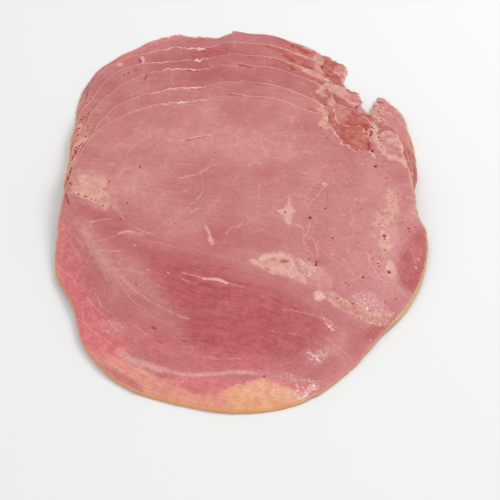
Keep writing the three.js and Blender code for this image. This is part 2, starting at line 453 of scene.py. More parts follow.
# Fat between the muscles and along the front.
FAT_MARKS = areas(
    Kind.FAT,
    ((-82, 39, -79, 39.5, -72.5, 37, -66, 35.5, -66, 31.5, -66.5, 27, -63.5, 23, -62.5, 17.5, -65, 14.7,
      -69, 17.5, -74, 20.5, -79, 23, -83.5, 28.5, -80, 31, -80, 35),),
    ((2.5, -21.5, 5, -19.7, 10.5, -16.7, 13.5, -15.6, 19.3, -14.8, 22.7, -16.8, 24.3, -21, 25.7, -26,
      27.7, -29, 30.4, -33.5, 30, -35.5, 26.5, -34, 22, -32, 18.5, -30.6, 14, -29.8, 11.2, -27.8, 8.3, -24.8,
      5, -23),),
    ((38, -38.5, 42, -38.5, 49, -43, 54, -45.5, 59.5, -47, 66, -46.5, 70, -46, 67, -51, 64, -54.5, 60, -55,
      56, -53.5, 51, -51, 45, -48, 40, -44), 1, 0.8),
    ((70, 29, 73, 28.5, 75.5, 21, 75, 13, 71, 5.5, 66.5, 2, 62, 4, 63, 8.5, 67.5, 12.5, 70, 19.5),),
    ((66.5, 1, 70, -2, 71, -10, 67.5, -13.5, 64, -12, 64, -4.5), 1, 0.5),
    ((68, -17, 71.5, -19, 71, -26.5, 68.5, -28.5, 66.2, -24.5), 1, 0.7),
    ((62, -17, 64.5, -18, 64.5, -23, 62, -22), 1, 0.5),
    ((73, 54.5, 78.5, 55.5, 85, 49, 84, 45, 77, 50), 1, 0.7),
) + areas(
    Kind.SLIT_AND_SHADE,
    ((17.8, -21, 19, -20, 21.5, -20.4, 22.6, -21.5, 21, -22.6, 18.5, -22.6), 0.6, 0.62),
    ((6, -19.2, 7, -18.4, 8.6, -20.2, 7.6, -21), 0.6, 0.4),
    ((13.9, -18.4, 16.6, -19.6, 15.5, -21.4, 14.2, -20.2), 0.6, 0.4),
    ((10.8, -24.8, 12.8, -25.4, 12.5, -28, 10.8, -27.4), 0.6, 0.5),
    ((77, -4, 82, 3, 92, 8, 94, -10, 86, -30, 76, -31, 74, -22, 75, -12), 3, 0.34),
    ((40, -40, 56, -47, 68, -48, 64, -54, 54, -52, 44, -47), 2, 0.38),
) + discs(
    Kind.FAT,
    (40.5, 32, 1.8, 1, 0.7), (-14, -8, 1.3), (70.5, 56, 2.0), (43, 82.5, 2.2), (41.5, 78, 2.6),
    (43.5, 75, 2.0),
) + areas(
    Kind.VEIN_AND_GLINT,
    ((16.5, 13, 19.5, 14.2, 21.5, 17, 23.2, 25, 24, 17, 26, 12, 24, 9.5, 23.5, 3, 21, 3.5, 20, 8.5,
      18, 10.5), 1.0, 0.62),
    ((33, -39.2, 36.5, -39, 37.2, -42.5, 33.5, -43.7), 1.2, 0.8),
    ((8, -19, 13, -17, 19, -16, 20, -18, 13, -19, 9, -20.5), 1.0, 0.8),
    ((21, -17, 23.4, -21, 25, -26, 27, -30, 25, -29, 22.6, -23), 1.0, 0.8),
    ((13, -24, 19, -25, 22, -29, 17, -28.5, 13, -27), 1.4, 0.55),
) + discs(
    Kind.WET,
    (21.5, -25, 2.0, 1, 0.6), (21.5, -28.5, 2.4, 1.5, 0.7), (35, -41, 2.4, 1, 0.9),
) + areas(
    Kind.WET,
    # The pitted blotch near the front left has a crinkled surface, drawn with the painted white glints of
    # the wet places.
    ((-64, -54.5, -58, -52.5, -53, -55, -51, -58.5, -56, -61, -62, -58.5), 2.0, 0.42),
    # Moist places that glint: lower roughness, with a paler painted sheen and painted white glints.
    ((50, -40, 58, -38, 65, -45, 62, -49, 55, -47), 3),
    ((28, -70.5, 32.5, -72, 38, -69, 35, -75, 31, -78), 2.5),
    ((18, -83, 26, -85, 33, -88, 30, -94, 24, -97, 14, -96, 23, -90), 2.5),
    ((25, -20, 33, -25, 36, -30, 30, -31, 27, -26), 2.5, 0.9),
    ((36, -52, 39, -55, 41, -60, 38, -58), 2, 0.8),
    ((0, -87, 14, -86, 18, -92, 8, -94, -2, -92), 3, 0.5),
) + areas(
    Kind.PALE_AND_SHEEN,
    ((60, 6, 66, 14, 68, 28, 76, 31, 78, 18, 74, 4, 73, -12, 66, -16, 61, -6), 3, 0.9),
    ((65, -17, 74, -17, 73, -29, 66, -30), 3, 0.9),
    ((-86, 42, -70, 42, -60, 34, -59, 14, -68, 12, -88, 24), 3, 0.8),
    ((74, 56, 84, 52, 88, 42, 80, 44, 70, 52), 4, 0.6),
) + areas(
    Kind.SPECK,
    ((62, 3, 64, 10, 70, 16, 71, 30, 77, 28, 77, 8, 70, 2), 1.5),
    ((64, 0, 71, -2, 72, -10, 68, -14, 63, -10), 2, 0.6),
    ((42, -41, 50, -44, 58, -46, 73, -44, 68, -57, 56, -56, 46, -49), 2, 0.9),
    ((-90, 64, -82, 64, -79, 40, -80, 24, -88, 20), 2, 0.8),
) + discs(
    Kind.SPECK,
    (79, 3, 4.5, 2, 0.8), (63, -20, 3.5, 2, 0.7), (42, -10, 3, 2, 0.5), (54, -11, 3, 2, 0.5),
) + areas(
    Kind.CAP,
    # The fat cap along the front.
    ((-70, -68, -62, -70, -58, -72, -53, -74, -48, -77.5, -43, -79.5, -34, -84.5, -30, -86.5, -26, -89,
      -21, -92, -16.5, -93, -12, -92.8, -8, -91.4, -4, -89.8, 1, -87.5, 6, -85.5, 10, -85, 12.5, -85.5,
      16, -87.5, 18.5, -89, 22.5, -90.5, 26, -92.5, 28, -95, 32, -112, -30, -122, -40, -94, -46, -85.8,
      -50.5, -83, -55.5, -79.5, -61, -77, -72, -78),),
) + areas(
    Kind.GOLD,
    ((-6, -93, 2, -88, 10, -86, 18, -89, 24, -92, 24, -104, 0, -106), 4),
    ((-30, -93, -14, -96, -6, -99, -30, -108), 4, 0.4),
) + discs(
    Kind.RUDDY,
    (-6, -96.5, 4, 2.5, 0.5),
) + areas(
    Kind.RUDDY,
    ((-62, -78, -52, -84, -46, -87, -46, -94, -58, -90, -66, -84), 1.2),
)

# Lines and pits.
LINE_MARKS = lines(
    Kind.VEIN_AND_GLINT,
    # Bright white lines.
    ((-31, 36, -27.5, 37.5, -23.5, 38.5, -21, 39.5, -18, 42, -16.5, 43.5), 0.8, 0.7),
    ((-17, -32.6, -13.5, -32.6, -10, -33.2, -6.5, -35.2), 1.5, 1.0),
    ((-26.5, -28.5, -21.5, -30.5, -14, -32.7, -7, -35, 1.5, -38), 0.7, 0.6),
    ((-27, -32.5, -24, -34, -20, -35.8), 0.8, 0.6),
    ((38, -56, 40.5, -59), 0.9, 0.9),
    ((-57.5, -3.2, -55, -1.8, -51.5, -2), 1.6, 0.6),
    ((-71.5, 3.5, -70.5, 5, -66, 6.5, -62, 7), 0.7, 0.5),
    ((-71, 4.4, -70.2, 5.6), 1.0, 0.6),
    ((-50.5, 1, -47, -1, -41, -3.5), 0.8, 0.5),
    ((-7.5, -3.5, -4.5, 1, -1.5, 1.5, 0.5, 5), 0.8, 0.5),
    ((-17, 2, -15.5, -2, -14.5, -6), 1.3, 0.75),
    ((-15, -6, -13.5, -10), 2.2, 0.6),
    ((63, 58, 65, 55, 67, 52), 0.8, 0.7),
    ((73.5, 51.5, 76.5, 50.5, 82, 46.5), 1.4, 0.5),
    ((79.5, 23, 83.5, 21.5), 0.9, 0.5),
    ((81, 14, 83, 12.8, 85.5, 11), 0.9, 0.6),
    ((-32, 65, -28, 65.3, -24, 66.8, -20.5, 68, -15.5, 68.8), 1.3, 0.6),
    ((26, -20.5, 30, -24, 33.5, -27.5), 1.5, 0.6),
    # Seams between muscles.
    ((-62.5, 18, -59, 14, -54, 3.5, -47, -1, -39, -5.5, -34, -8, -28.5, -11, -23, -14, -18, -16, -7.5, -19,
      3, -22.5), 0.6, 0.3),
    ((-50, -73.5, -46.5, -74.8, -41, -77.3, -35.5, -79.8, -30.5, -81.3, -25, -82.5, -20, -83.1, -15, -83,
      -10, -82.7, -4.5, -82.2, 1, -82, 6, -82.5), 2.2, 0.5),
    ((-53, -70, -48.5, -74, -42, -77.2, -34, -80.4), 4.5, 0.42),
    ((6, -82.5, 11.5, -83.5, 16.5, -84.5, 21.5, -85.5, 29, -86.5, 37, -86.5), 0.8, 0.35),
    ((19.5, -49.5, 27, -50.5, 33.5, -52, 39, -54.5), 0.8, 0.4),
    ((12, -61, 23, -62.5, 30.5, -65, 42, -71, 45, -74), 0.8, 0.3),
    ((-67, -8.5, -61.5, -6.5, -57.5, -4, -55, -2.5, -51.5, -2, -47, -3, -43.5, -4), 0.7, 0.4),
    ((-53, -6.5, -44.5, -8, -37, -9.5), 0.6, 0.3),
    # Fan lines at the left and front.
    ((-71, -2.5, -67.5, -13, -62, -22.5, -55, -31, -45.5, -40.5, -35.5, -47.5, -24.5, -54), 0.7, 0.4),
    ((-64, -24, -60, -33, -52, -43, -42, -51, -30, -58), 0.7, 0.3),
    ((-65.5, -14, -60.5, -15, -56, -15), 0.9, 0.5),
    ((-62, -19, -54.5, -24, -49, -25.5), 0.7, 0.35),
    ((-57.5, -25.5, -51, -26.5, -45, -29), 0.9, 0.45),
    ((-56, -29, -47.5, -38.5, -41, -44), 0.9, 0.45),
    ((-57, -30, -51, -40.5, -46, -46, -42.5, -48.5), 0.7, 0.4),
    ((-73.5, -10.5, -78.5, -3, -85.5, 6.5), 0.8, 0.35),
    ((-74, -11.5, -80, -11, -84.5, -9), 0.8, 0.3),
    ((-70.5, -19, -74, -23, -75.5, -28.5), 0.8, 0.35),
    ((-70, -39.5, -65, -46.5, -62, -50), 0.8, 0.45),
    ((37.5, -64, 47.5, -72.5), 0.7, 0.4),
    ((34, -52.5, 44.5, -59), 0.7, 0.35),
    ((-58, -26, -50, -35, -38, -43, -26, -49), 0.7, 0.3),
    ((-52, -24, -44, -31, -34, -38), 0.7, 0.25),
    ((-72, -8, -66, -20, -60, -28), 0.9, 0.35),
    ((-74.5, -50, -70, -53, -66, -58, -60, -63, -56.5, -66), 0.8, 0.4),
    ((-85, 4, -79.5, -7.5, -74, -16, -68.5, -24), 0.7, 0.35),
    ((-84.5, -6, -78, -13, -72.5, -20), 0.7, 0.35),
    ((-84, -20, -79.5, -24.5, -76.5, -29, -75, -34), 0.8, 0.4),
    ((-66, -38, -62, -46, -57, -50), 0.8, 0.4),
    ((-68.5, -59, -63, -61.5, -58.5, -64), 0.8, 0.3),
    ((-46.5, -57.5, -41.5, -62), 0.8, 0.45),
    ((-26.5, -68.5, -18.5, -69.5), 0.8, 0.4),
    ((-18.5, -74, -10.5, -75.5, 0.5, -75.5), 0.8, 0.4),
    ((-28, -52.5, -23, -54), 1.0, 0.5),
    ((-49, -76.5, -41.5, -82.5, -33.5, -89), 0.9, 0.45),
    ((-49.5, -79.5, -43, -86, -36, -91), 0.8, 0.35),
    ((-60, -74, -52, -80, -45, -86), 0.8, 0.4),
    ((-64, -72, -57, -79, -49, -85.5), 0.8, 0.35),
    ((-43, -80.5, -35, -86, -27, -91), 0.8, 0.4),
) + lines(
    Kind.SLIT_AND_SHADE,
    ((-62, -75, -55, -81, -48, -86), 0.9, 0.22),
    ((-47, -80, -40, -85, -32, -90.5), 0.9, 0.2),
) + lines(
    Kind.VEIN_AND_GLINT,
    # Painted glints: white smears and sparkles of light on the moist places.
    ((31.3, -88.3, 29, -91.5, 26.5, -95), 1.6, 0.9),
    ((29.5, -71.5, 32, -73), 0.9, 0.8),
    ((34.5, -70.5, 36, -72.5), 0.9, 0.8),
    ((33, -74.5, 35, -76), 0.9, 0.8),
    ((24.5, -90, 22, -93.5), 1.0, 0.6),
) + lines(
    Kind.PALE_AND_SHEEN,
    # The ridge from which the fibres fan out.
    ((-76, 5, -70, -8, -65, -18, -58, -27, -50, -35), 9.0, 1.0),
) + lines(
    Kind.VEIN_AND_GLINT,
    ((-74, -1, -68, -13, -61, -23, -55, -30), 4.5, 0.34),
) + lines(
    Kind.RUDDY,
    ((-46, -7.5, -37, -10.3, -29, -13), 1.8, 0.5),
) + lines(
    Kind.VEIN_AND_GLINT,
    # Veins on the large muscle.
    ((-58, 46, -57.5, 48.5, -56, 51, -54, 52.5), 0.7, 0.3),
    ((-60.5, 34, -61.5, 37.5, -60, 41, -58, 42.5, -54.5, 44, -51, 45), 0.7, 0.45),
    ((-58, 28.5, -54.5, 29, -52.5, 30), 1.0, 0.5),
    ((-57, 22.5, -55, 20.5, -54, 19.5), 0.7, 0.35),
    ((-62, 17.5, -59, 14, -56.5, 10.5), 0.9, 0.35),
    ((-47.5, 12, -43, 15.5, -40.5, 19.5, -38.5, 22.5, -35.5, 26.5, -31, 33), 0.7, 0.35),
    ((-35, 2, -31.5, 6.5, -26.5, 14, -22.5, 19.5, -19.5, 25, -19, 28.5), 0.7, 0.4),
    ((-17.5, 11.5, -15, 15.5, -10, 24), 0.7, 0.35),
    ((-20, 2, -14, 12, -8, 18), 0.6, 0.25),
    ((-16.5, 39.5, -13, 40, -8, 43), 0.6, 0.3),
    ((-25.5, 35.5, -24.5, 34, -25, 31, -27.5, 27.5), 0.6, 0.3),
    ((-65.5, 46.5, -63.5, 46.5), 1.0, 0.5),
    ((-74, 50, -71.5, 49), 1.0, 0.4),
    ((-28, 27, -26.5, 27.3), 1.2, 0.5),
    ((-21.4, 13.3, -20.5, 13.7), 1.2, 0.5),
    ((9, 55.5, 14, 52, 18, 50.5, 22.5, 48), 0.7, 0.5),
    ((14, 4, 12, 1, 9, -0.5, 4, -3), 0.8, 0.35),
    ((40.5, 33.5, 40, 29.5, 36, 22.5, 33, 18, 32, 14.5), 0.8, 0.45),
    ((43.5, 28, 45, 34.5, 46.5, 38), 0.7, 0.3),
    ((32.5, 5.5, 31.5, -1, 29, -5.5, 29.5, -10.5, 31.5, -15, 33.5, -18.5), 0.8, 0.45),
    ((31.5, -6.5, 33.5, -6.5, 35, -13.5, 35, -20), 0.8, 0.45),
    ((79.5, -5, 77.5, -8.5, 73.5, -15, 72.5, -18), 0.8, 0.35),
    ((81, -5, 81, -11.5, 81, -18.5, 82.5, -22), 0.7, 0.3),
    ((50.5, 21, 54, 21.3, 60, 21, 57, 18), 0.7, 0.4),
    ((58, 24, 56, 16, 58, 8, 56, 0), 0.7, 0.25),
    ((50, 40, 58, 36, 64, 40, 72, 38), 0.7, 0.25),
    ((52, -6, 60, -10, 62, -18, 56, -24), 0.7, 0.25),
    ((26, 8, 30, 4, 31, 0), 0.6, 0.25),
    ((58, 52, 64, 44, 70, 42), 0.7, 0.25),
    ((-20.5, 41.5, -19, 31, -20, 22.5, -26.5, 15.5, -34, 7, -39.5, 0), 0.7, 0.4),
    ((-10.5, 21, -16, 11), 0.8, 0.4),
    ((-24.5, 11, -21, 14.5), 1.0, 0.5),
    ((-58.5, 49, -56, 56.5, -52.5, 62), 0.7, 0.4),
    ((-53.5, 43, -58, 42, -60.5, 36), 0.7, 0.4),
    ((-59.5, 74.5, -56.5, 77, -53.5, 78.5), 0.8, 0.4),
    ((-62, 16.5, -56, 7), 0.8, 0.45),
    ((48.5, 22.5, 52, 20.5, 58, 19.5), 0.8, 0.4),
    ((52, 15.5, 52.5, 5.5, 56, 1.5), 0.8, 0.35),
    ((41.5, 0, 44.5, 1.5, 42, -5.5), 0.8, 0.4),
    ((58.5, -14.5, 60, -22, 64.5, -29.5), 1.2, 0.4),
    ((46.5, -19.5, 50, -25, 51.5, -29), 0.8, 0.35),
    ((25.5, 4, 29.5, 0), 0.9, 0.45),
    ((63, 41.5, 61.5, 31, 64, 26.5), 0.8, 0.35),
    ((79, -8, 81, -15.5, 84.5, -10), 0.8, 0.35),
) + lines(
    Kind.SLIT_AND_SHADE,
    # Dark red slits.
    ((-23, -34.5, -17.5, -37, -11.5, -38.2, -5, -40), 0.8, 0.65),
    ((13, -43, 18, -45.8, 24.5, -48.5), 0.8, 0.65),
    ((-74, -19, -71.5, -21), 0.8, 0.45),
    ((-39.4, -58.6, -37.6, -59.6), 0.9, 1.0),
    ((-36.5, -65.8, -34.6, -66.6), 0.8, 0.7),
    ((41.4, 26, 41, 21, 40.5, 17.5), 0.6, 0.5),
    ((-29, 64.6, -27, 65.4, -25.5, 64.8, -23.5, 66.4, -21.4, 66.6), 0.9, 0.8),
    ((-20, 67.4, -18.6, 68), 1.0, 0.7),
    ((34.5, -21.5, 34, -24), 1.0, 1.0),
    ((18, -21.3, 21.5, -21.3), 1.7, 0.45),
    ((-85.5, 56, -84, 52), 1.1, 0.9),
    ((-85.6, 25.5, -84.6, 22.5, -83.2, 18.5), 1.0, 0.9),
    ((9.5, -24, 12, -26.5, 13.5, -27), 0.7, 0.3),
    ((7, -21.5, 9, -22.5), 0.7, 0.25),
    ((-25.6, -66, -24, -66.4), 0.8, 0.6),
    ((-22, -66.8, -20.6, -67.2), 0.8, 0.5),
    ((-31.6, -21.4, -30.2, -21.8), 0.8, 0.6),
) + holes(
    (32.5, 7.8, 0.8), (67, -3.5, 0.85), (67.8, -24.2, 0.85), (34.2, -23.6, 0.6), (42.6, -5.6, 0.55),
    (55.6, -29, 0.6), (54.5, -9, 0.35), (67.2, -5.4, 0.4), (79, 3, 0.6), (79.3, 1.2, 0.45), (63, -20, 0.5),
    (63.2, -21.6, 0.45), (40, 14, 0.5), (62, 22, 0.3), (71, 35.5, 0.35), (57, 13.5, 0.3), (47.5, 24.5, 0.3),
    (54.5, 48, 0.3), (46, 41.5, 0.3), (65, 3.6, 0.4), (66.5, -11.6, 0.4), (31, -20, 0.45),
    (47.4, -32.8, 0.4), (48.6, -33.8, 0.4), (43.5, -41.5, 0.4), (50, -44, 0.5), (65, -41, 0.4),
    (70, -38.5, 0.4), (59, -54, 0.35), (29.5, -35, 0.4), (10, -84, 0.5), (34, 68.5, 0.35), (76, 6, 0.4),
    (82.5, 4.5, 0.3), (60.5, -17.5, 0.35), (41.5, -10.5, 0.35), (43, 67, 0.3), (14, 53.5, 0.3),
    (20.6, 11.4, 0.5), (-50.5, 44.5, 0.5), (-44, 60.5, 0.35), (-55, 18, 0.5), (-57.5, 6.5, 0.4),
    (-47.5, -35, 0.35), (-65, 34, 0.5), (-67, 28.5, 0.5), (-65.6, 28.2, 0.3), (-79, 24.5, 0.5),
    (-75.5, 23, 0.5), (-72.5, 21.2, 0.4), (-70.5, 20.5, 0.4), (-66.5, 16.7, 0.4), (-67.5, 21.4, 0.35),
    (-84, 32, 0.6), (-83, 31, 0.45), (-83, 44.5, 0.45), (-83, 42, 0.4), (-84.5, 30, 0.4), (-86.5, 40.5, 0.4),
    (-85.5, 36, 0.45), (-84.3, 37.8, 0.4), (-86, 47, 0.5), (-84.6, 49.6, 0.45), (-82, 60, 0.5),
    (-84.6, 62.4, 0.45), (66, 45, 0.8, 0.9),
)

SECTION_MARKS = MUSCLES + FAT_MARKS + LINE_MARKS


@dataclass(frozen=True)
class SlicePlan:
    """One slice: where it lies in the fan, its own edge, and marks that only it has."""

    node: str
    shift: tuple[float, float]
    dents: tuple[Dent, ...]
    tears: tuple[Tear, ...] = ()
    break_at: float = 94.0  # the bearing where the back edge has split and its two ends pass each other
    marks: Marks = Marks()
    warmth_and_shade: float = 0.0  # how much darker and redder it is than the top slice, from its middle to its right: partly its own colour, partly painted shade from lying under the slices above
    rind_shares: tuple[float, float] = (1.0, 1.0)  # how much of its rind shows at the left and at the right


# The pale fat with round pits on the flap right of the torn corner.
FLAP_FAT = areas(
    Kind.PALE_AND_SHEEN,
    ((62, 56, 76, 58, 86, 44, 88, 30, 82, 20, 72, 16, 64, 24, 60, 40), 3, 0.95),
) + areas(
    Kind.FAT,
    ((65, 50, 70, 52, 73.5, 50, 75.5, 44, 75, 36, 69, 34, 65, 40), 1, 0.55),
    ((75, 37, 73, 25, 70, 22, 67, 29, 67, 36), 1, 0.6),
) + areas(
    Kind.SPECK,
    ((66, 50, 75, 48, 76, 28, 68, 26), 2),
) + areas(
    Kind.LEAN,
    ((77, 29, 83, 30, 83.5, 22, 80, 16, 76.5, 20), 2, 0.45),
) + lines(
    Kind.VEIN_AND_GLINT,
    ((72, 33.5, 76, 35, 79, 31), 1.4, 0.7),
    ((66, 49, 70, 46, 73, 41), 1.2, 0.5),
) + lines(
    Kind.SLIT_AND_SHADE,
    ((69, 46, 71, 44.5), 1.0, 0.6),
    ((71.5, 48.8, 74, 47.6), 1.1, 0.8),
    ((72.4, 45.2, 73.2, 42.8), 0.9, 0.7),
) + holes(
    (70.5, 37, 0.35), (72, 37.5, 0.4), (70, 32.5, 0.4), (71.5, 30.5, 0.45), (72.6, 29, 0.35),
    (70.5, 26.5, 0.4), (69.5, 42.5, 0.35), (71.5, 40.5, 0.4), (73.5, 42.5, 0.3), (79.5, 41.5, 0.3),
)

# The left edge under the slices above: stained orange, with pits and short slits.
LEFT_EDGE = areas(
    Kind.SALMON,
    ((-94, 62, -85, 58, -80.5, 46, -80, 34, -82.5, 22, -94, 16), 2.5, 0.45),
) + areas(
    Kind.FAT,
    ((-86, 40, -83, 42, -80.5, 36, -81, 30, -85, 32), 1, 0.5),
) + lines(
    Kind.SLIT_AND_SHADE,
    ((-83.9, 29, -82.4, 24.3), 1.5),
    ((-81.6, 29.8, -81.2, 26.6), 1.0, 0.8),
) + holes(
    (-84, 44.5, 0.6), (-82.5, 47, 0.5), (-80, 40.5, 0.5), (-84.6, 37.5, 0.55), (-81.5, 34.5, 0.55),
    (-80.5, 50, 0.5), (-79.5, 48.5, 0.4), (-82.6, 33, 0.5),
)

# What only one slice has. Some dark red lines and patches beside the edge of the slice above are painted
# shade.
SLICE_1_MARKS = areas(
    Kind.SALMON,
    ((-72, 84, -58, 96, -43, 104, -14, 108, -12, 99, -38, 95, -54, 87, -66, 76), 3, 0.85),
) + areas(
    Kind.SINEW,
    ((25.5, 90.5, 29, 90.5, 34, 87, 37.5, 83, 38, 80.5, 34.5, 81.5, 31, 83, 27.5, 86.5),),
    ((45, 76, 48.5, 76, 52, 74, 52, 71, 48.5, 70.5, 45, 72),),
) + areas(
    Kind.FAT,
    ((22, 96.5, 29, 94.5, 34, 90.5, 39.5, 86, 38, 83.5, 32, 88.5, 27.5, 91.5), 1, 0.9),
    ((51.5, 72, 57, 70.5, 58, 66, 54, 62.5, 49, 64, 50, 68),),
) + areas(
    Kind.SPECK,
    ((51, 72, 58, 70, 57, 64, 50, 64), 1),
    ((-66, 84, -52, 94, -43, 100, -14, 104, -14, 98, -40, 94, -58, 84), 2, 0.6),
    ((36, 88, 44, 83, 42, 79, 35, 84), 1.5, 0.8),
) + areas(
    Kind.SLIT_AND_SHADE,
    ((46, 77, 58, 72, 60, 66, 50, 62, 44, 70), 3, 0.36),
) + lines(
    Kind.SLIT_AND_SHADE,
    ((22.5, 95, 24.5, 93, 26, 90.5), 1.1, 0.6),
    ((27.5, 89.5, 31.5, 86, 36, 82), 3.2, 0.5),
    ((-62, 85, -60, 85), 1.2, 0.8),
) + lines(
    Kind.VEIN_AND_GLINT,
    ((53, 64.5, 56, 66, 57, 68.5), 1.4, 0.8),
)

SLICE_2_MARKS = FLAP_FAT + LEFT_EDGE + areas(
    Kind.SINEW,
    ((19, 95, 23, 94.5, 26.5, 91.5, 30, 88, 33, 83, 31, 81, 26.5, 83, 23, 87, 20, 91),),
    ((42, 84, 47, 84, 52, 78.5, 50, 73, 45, 73, 42, 78), 1, 0.8),
) + areas(
    Kind.SLIT_AND_SHADE,
    ((21, 92.5, 25, 90.5, 30, 84.5, 28, 83.5, 23.5, 88), 1.5, 0.6),
) + areas(
    Kind.FAT,
    ((14, 100, 19, 98, 24, 97, 29, 94, 36.5, 89, 35, 86.5, 30, 89.5, 25, 93.5, 20.5, 95.5), 1, 0.8),
) + areas(
    Kind.LEAN,
    ((-28, 95, -16, 96, -10, 90, -20, 86, -30, 88), 2.5, 0.7),
) + discs(
    Kind.FAT,
    (-67.5, 81, 1.7),
) + lines(
    Kind.SLIT_AND_SHADE,
    ((12.5, 98.5, 15.5, 96.5, 19, 93.5), 1.4, 0.6),
    # Painted shade along the edge of the slice above.
    ((32.5, 81, 35.5, 78.5, 38.5, 77.5), 1.8, 0.7),
    ((45.5, 71.8, 48, 70.6, 51, 69.8), 1.7, 0.85),
    ((-23.5, 93.5, -22, 93), 1.2, 0.9),
    ((-27.2, 87, -26, 87), 1.4, 0.9),
    ((-57.5, 86, -56, 83.5), 1.3),
) + lines(
    Kind.VEIN_AND_GLINT,
    ((-55.4, 88, -54.8, 84.5, -55, 81.5), 1.4),
    ((-25, 94.5, -22.5, 94.8), 1.0),
) + holes(
    (34, 84, 0.45), (43.5, 79.5, 0.4),
)

SLICE_3_MARKS = FLAP_FAT + LEFT_EDGE + areas(
    Kind.SINEW,
    ((24.5, 92, 28, 91.5, 32, 88.5, 30.5, 85.5, 26, 86),),
    ((36.5, 80, 40, 80.5, 44, 77, 42, 73, 37.5, 73.5),),
) + areas(
    Kind.FAT,
    ((22, 95.5, 31.5, 91.5, 39, 85.5, 48, 79.5, 46, 76.5, 38.5, 81, 31, 86.5, 27.5, 91.5), 1, 0.7),
    ((43.5, 78.5, 54, 73.5, 58.5, 67, 57, 59, 51, 62.5, 44.5, 69), 1, 0.2),
) + discs(
    Kind.FAT,
    (48, 70.5, 2.0), (46, 66.5, 2.0),
) + areas(
    Kind.PALE_AND_SHEEN,
    ((56, 61, 59, 66.5, 65, 64.5, 66, 58, 62, 56, 57, 57), 1.5),
) + areas(
    Kind.SALMON,
    ((56, 62, 59, 67, 65, 66, 66, 60, 60, 60), 2, 0.5),
) + areas(
    Kind.SPECK,
    ((56, 62, 60, 67, 66, 64, 66, 58, 58, 57), 1.5, 0.8),
) + lines(
    Kind.SLIT_AND_SHADE,
    ((19.5, 96, 22.5, 93.5, 25, 90.5), 1.2, 0.55),
    ((26, 90.5, 29, 88), 2.6, 0.5),
    ((-27.6, 97.5, -26.4, 97.5), 1.5),
    ((44, 70, 48, 67.5, 51, 64), 1.2, 0.4),
    ((54, 64.5, 57.5, 61.5, 63, 60), 0.9, 0.5),
) + lines(
    Kind.VEIN_AND_GLINT,
    ((57, 58.6, 60.5, 58.6, 63.5, 57.4), 1.3, 0.9),
    ((-29, 99, -26, 99.6), 1.2, 0.8),
    ((-56.5, 93, -52.5, 95, -49.5, 94), 1.6),
) + holes(
    (-64, 83, 0.5), (-62, 84.5, 0.5), (-58, 87, 0.5),
)

SLICE_4_MARKS = LEFT_EDGE + areas(
    Kind.SINEW,
    ((50, 71, 60, 69, 67, 63, 69.5, 56, 67.5, 51, 65.5, 45, 60, 44, 53, 46, 48, 53, 47, 62),),
    ((38, 75, 40.5, 73, 42.5, 68.5, 40, 70),),
) + areas(
    Kind.VEIN_AND_GLINT,
    ((46, 68, 54, 69, 57, 62, 53, 53, 47, 52), 4, 0.36),
    ((64, 44.5, 66, 48, 67, 52, 69.5, 49.5, 70, 45, 66.5, 42.5), 1.2, 0.85),
) + areas(
    Kind.SLIT_AND_SHADE,
    # Painted shade: the dark red under the edge of the slice above.
    ((57, 52, 62, 53, 65.5, 50, 65, 46, 60, 45, 57, 48), 2, 0.52),
) + areas(
    Kind.FAT,
    ((44, 71, 49, 72.5, 53, 69.5, 52.5, 63, 48, 64, 44.5, 66.5), 1, 0.6),
    ((66, 42, 69.5, 43, 72, 37, 71.5, 32.5, 68.5, 33.5),),
) + discs(
    Kind.FAT,
    (42, 78, 2.2), (44, 84, 1.8),
) + areas(
    Kind.LEAN,
    ((74, 31, 79.5, 31, 80, 24, 75, 26), 2, 0.6),
) + lines(
    Kind.SLIT_AND_SHADE,
    ((-51.5, 93.5, -52.5, 88.5), 1.3, 0.8),
) + lines(
    Kind.VEIN_AND_GLINT,
    ((-36, 98, -30.5, 98.6, -24.5, 99), 2.2),
) + lines(
    Kind.SLIT_AND_SHADE,
    ((-29.5, 96.2, -25, 96.2), 1.5),
    ((-3, 103, -1, 100.9, 0.6, 101.2, 3.5, 99), 2.0, 0.75),
) + lines(
    Kind.VEIN_AND_GLINT,
    # A painted highlight on the back lip of the dark red split.
    ((-5, 103.8, -2.5, 102.8), 1.3, 0.7),
) + lines(
    Kind.SLIT_AND_SHADE,
    ((26, 95, 32, 92, 37, 87.5), 1.8, 0.7),
    ((54, 52.5, 59, 48.5, 64, 46.5), 1.2, 0.8),
    ((64, 44, 64.8, 41.5, 66.8, 44), 1.6, 1.0),
    ((66.4, 49.5, 68, 46.5), 1.0, 0.8),
) + lines(
    Kind.VEIN_AND_GLINT,
    ((71.5, 43, 75.5, 44.5, 78.5, 40.5), 1.6, 0.7),
) + holes(
    (68.8, 40.5, 0.45), (70.6, 36, 0.5), (69.6, 34.4, 0.4),
)

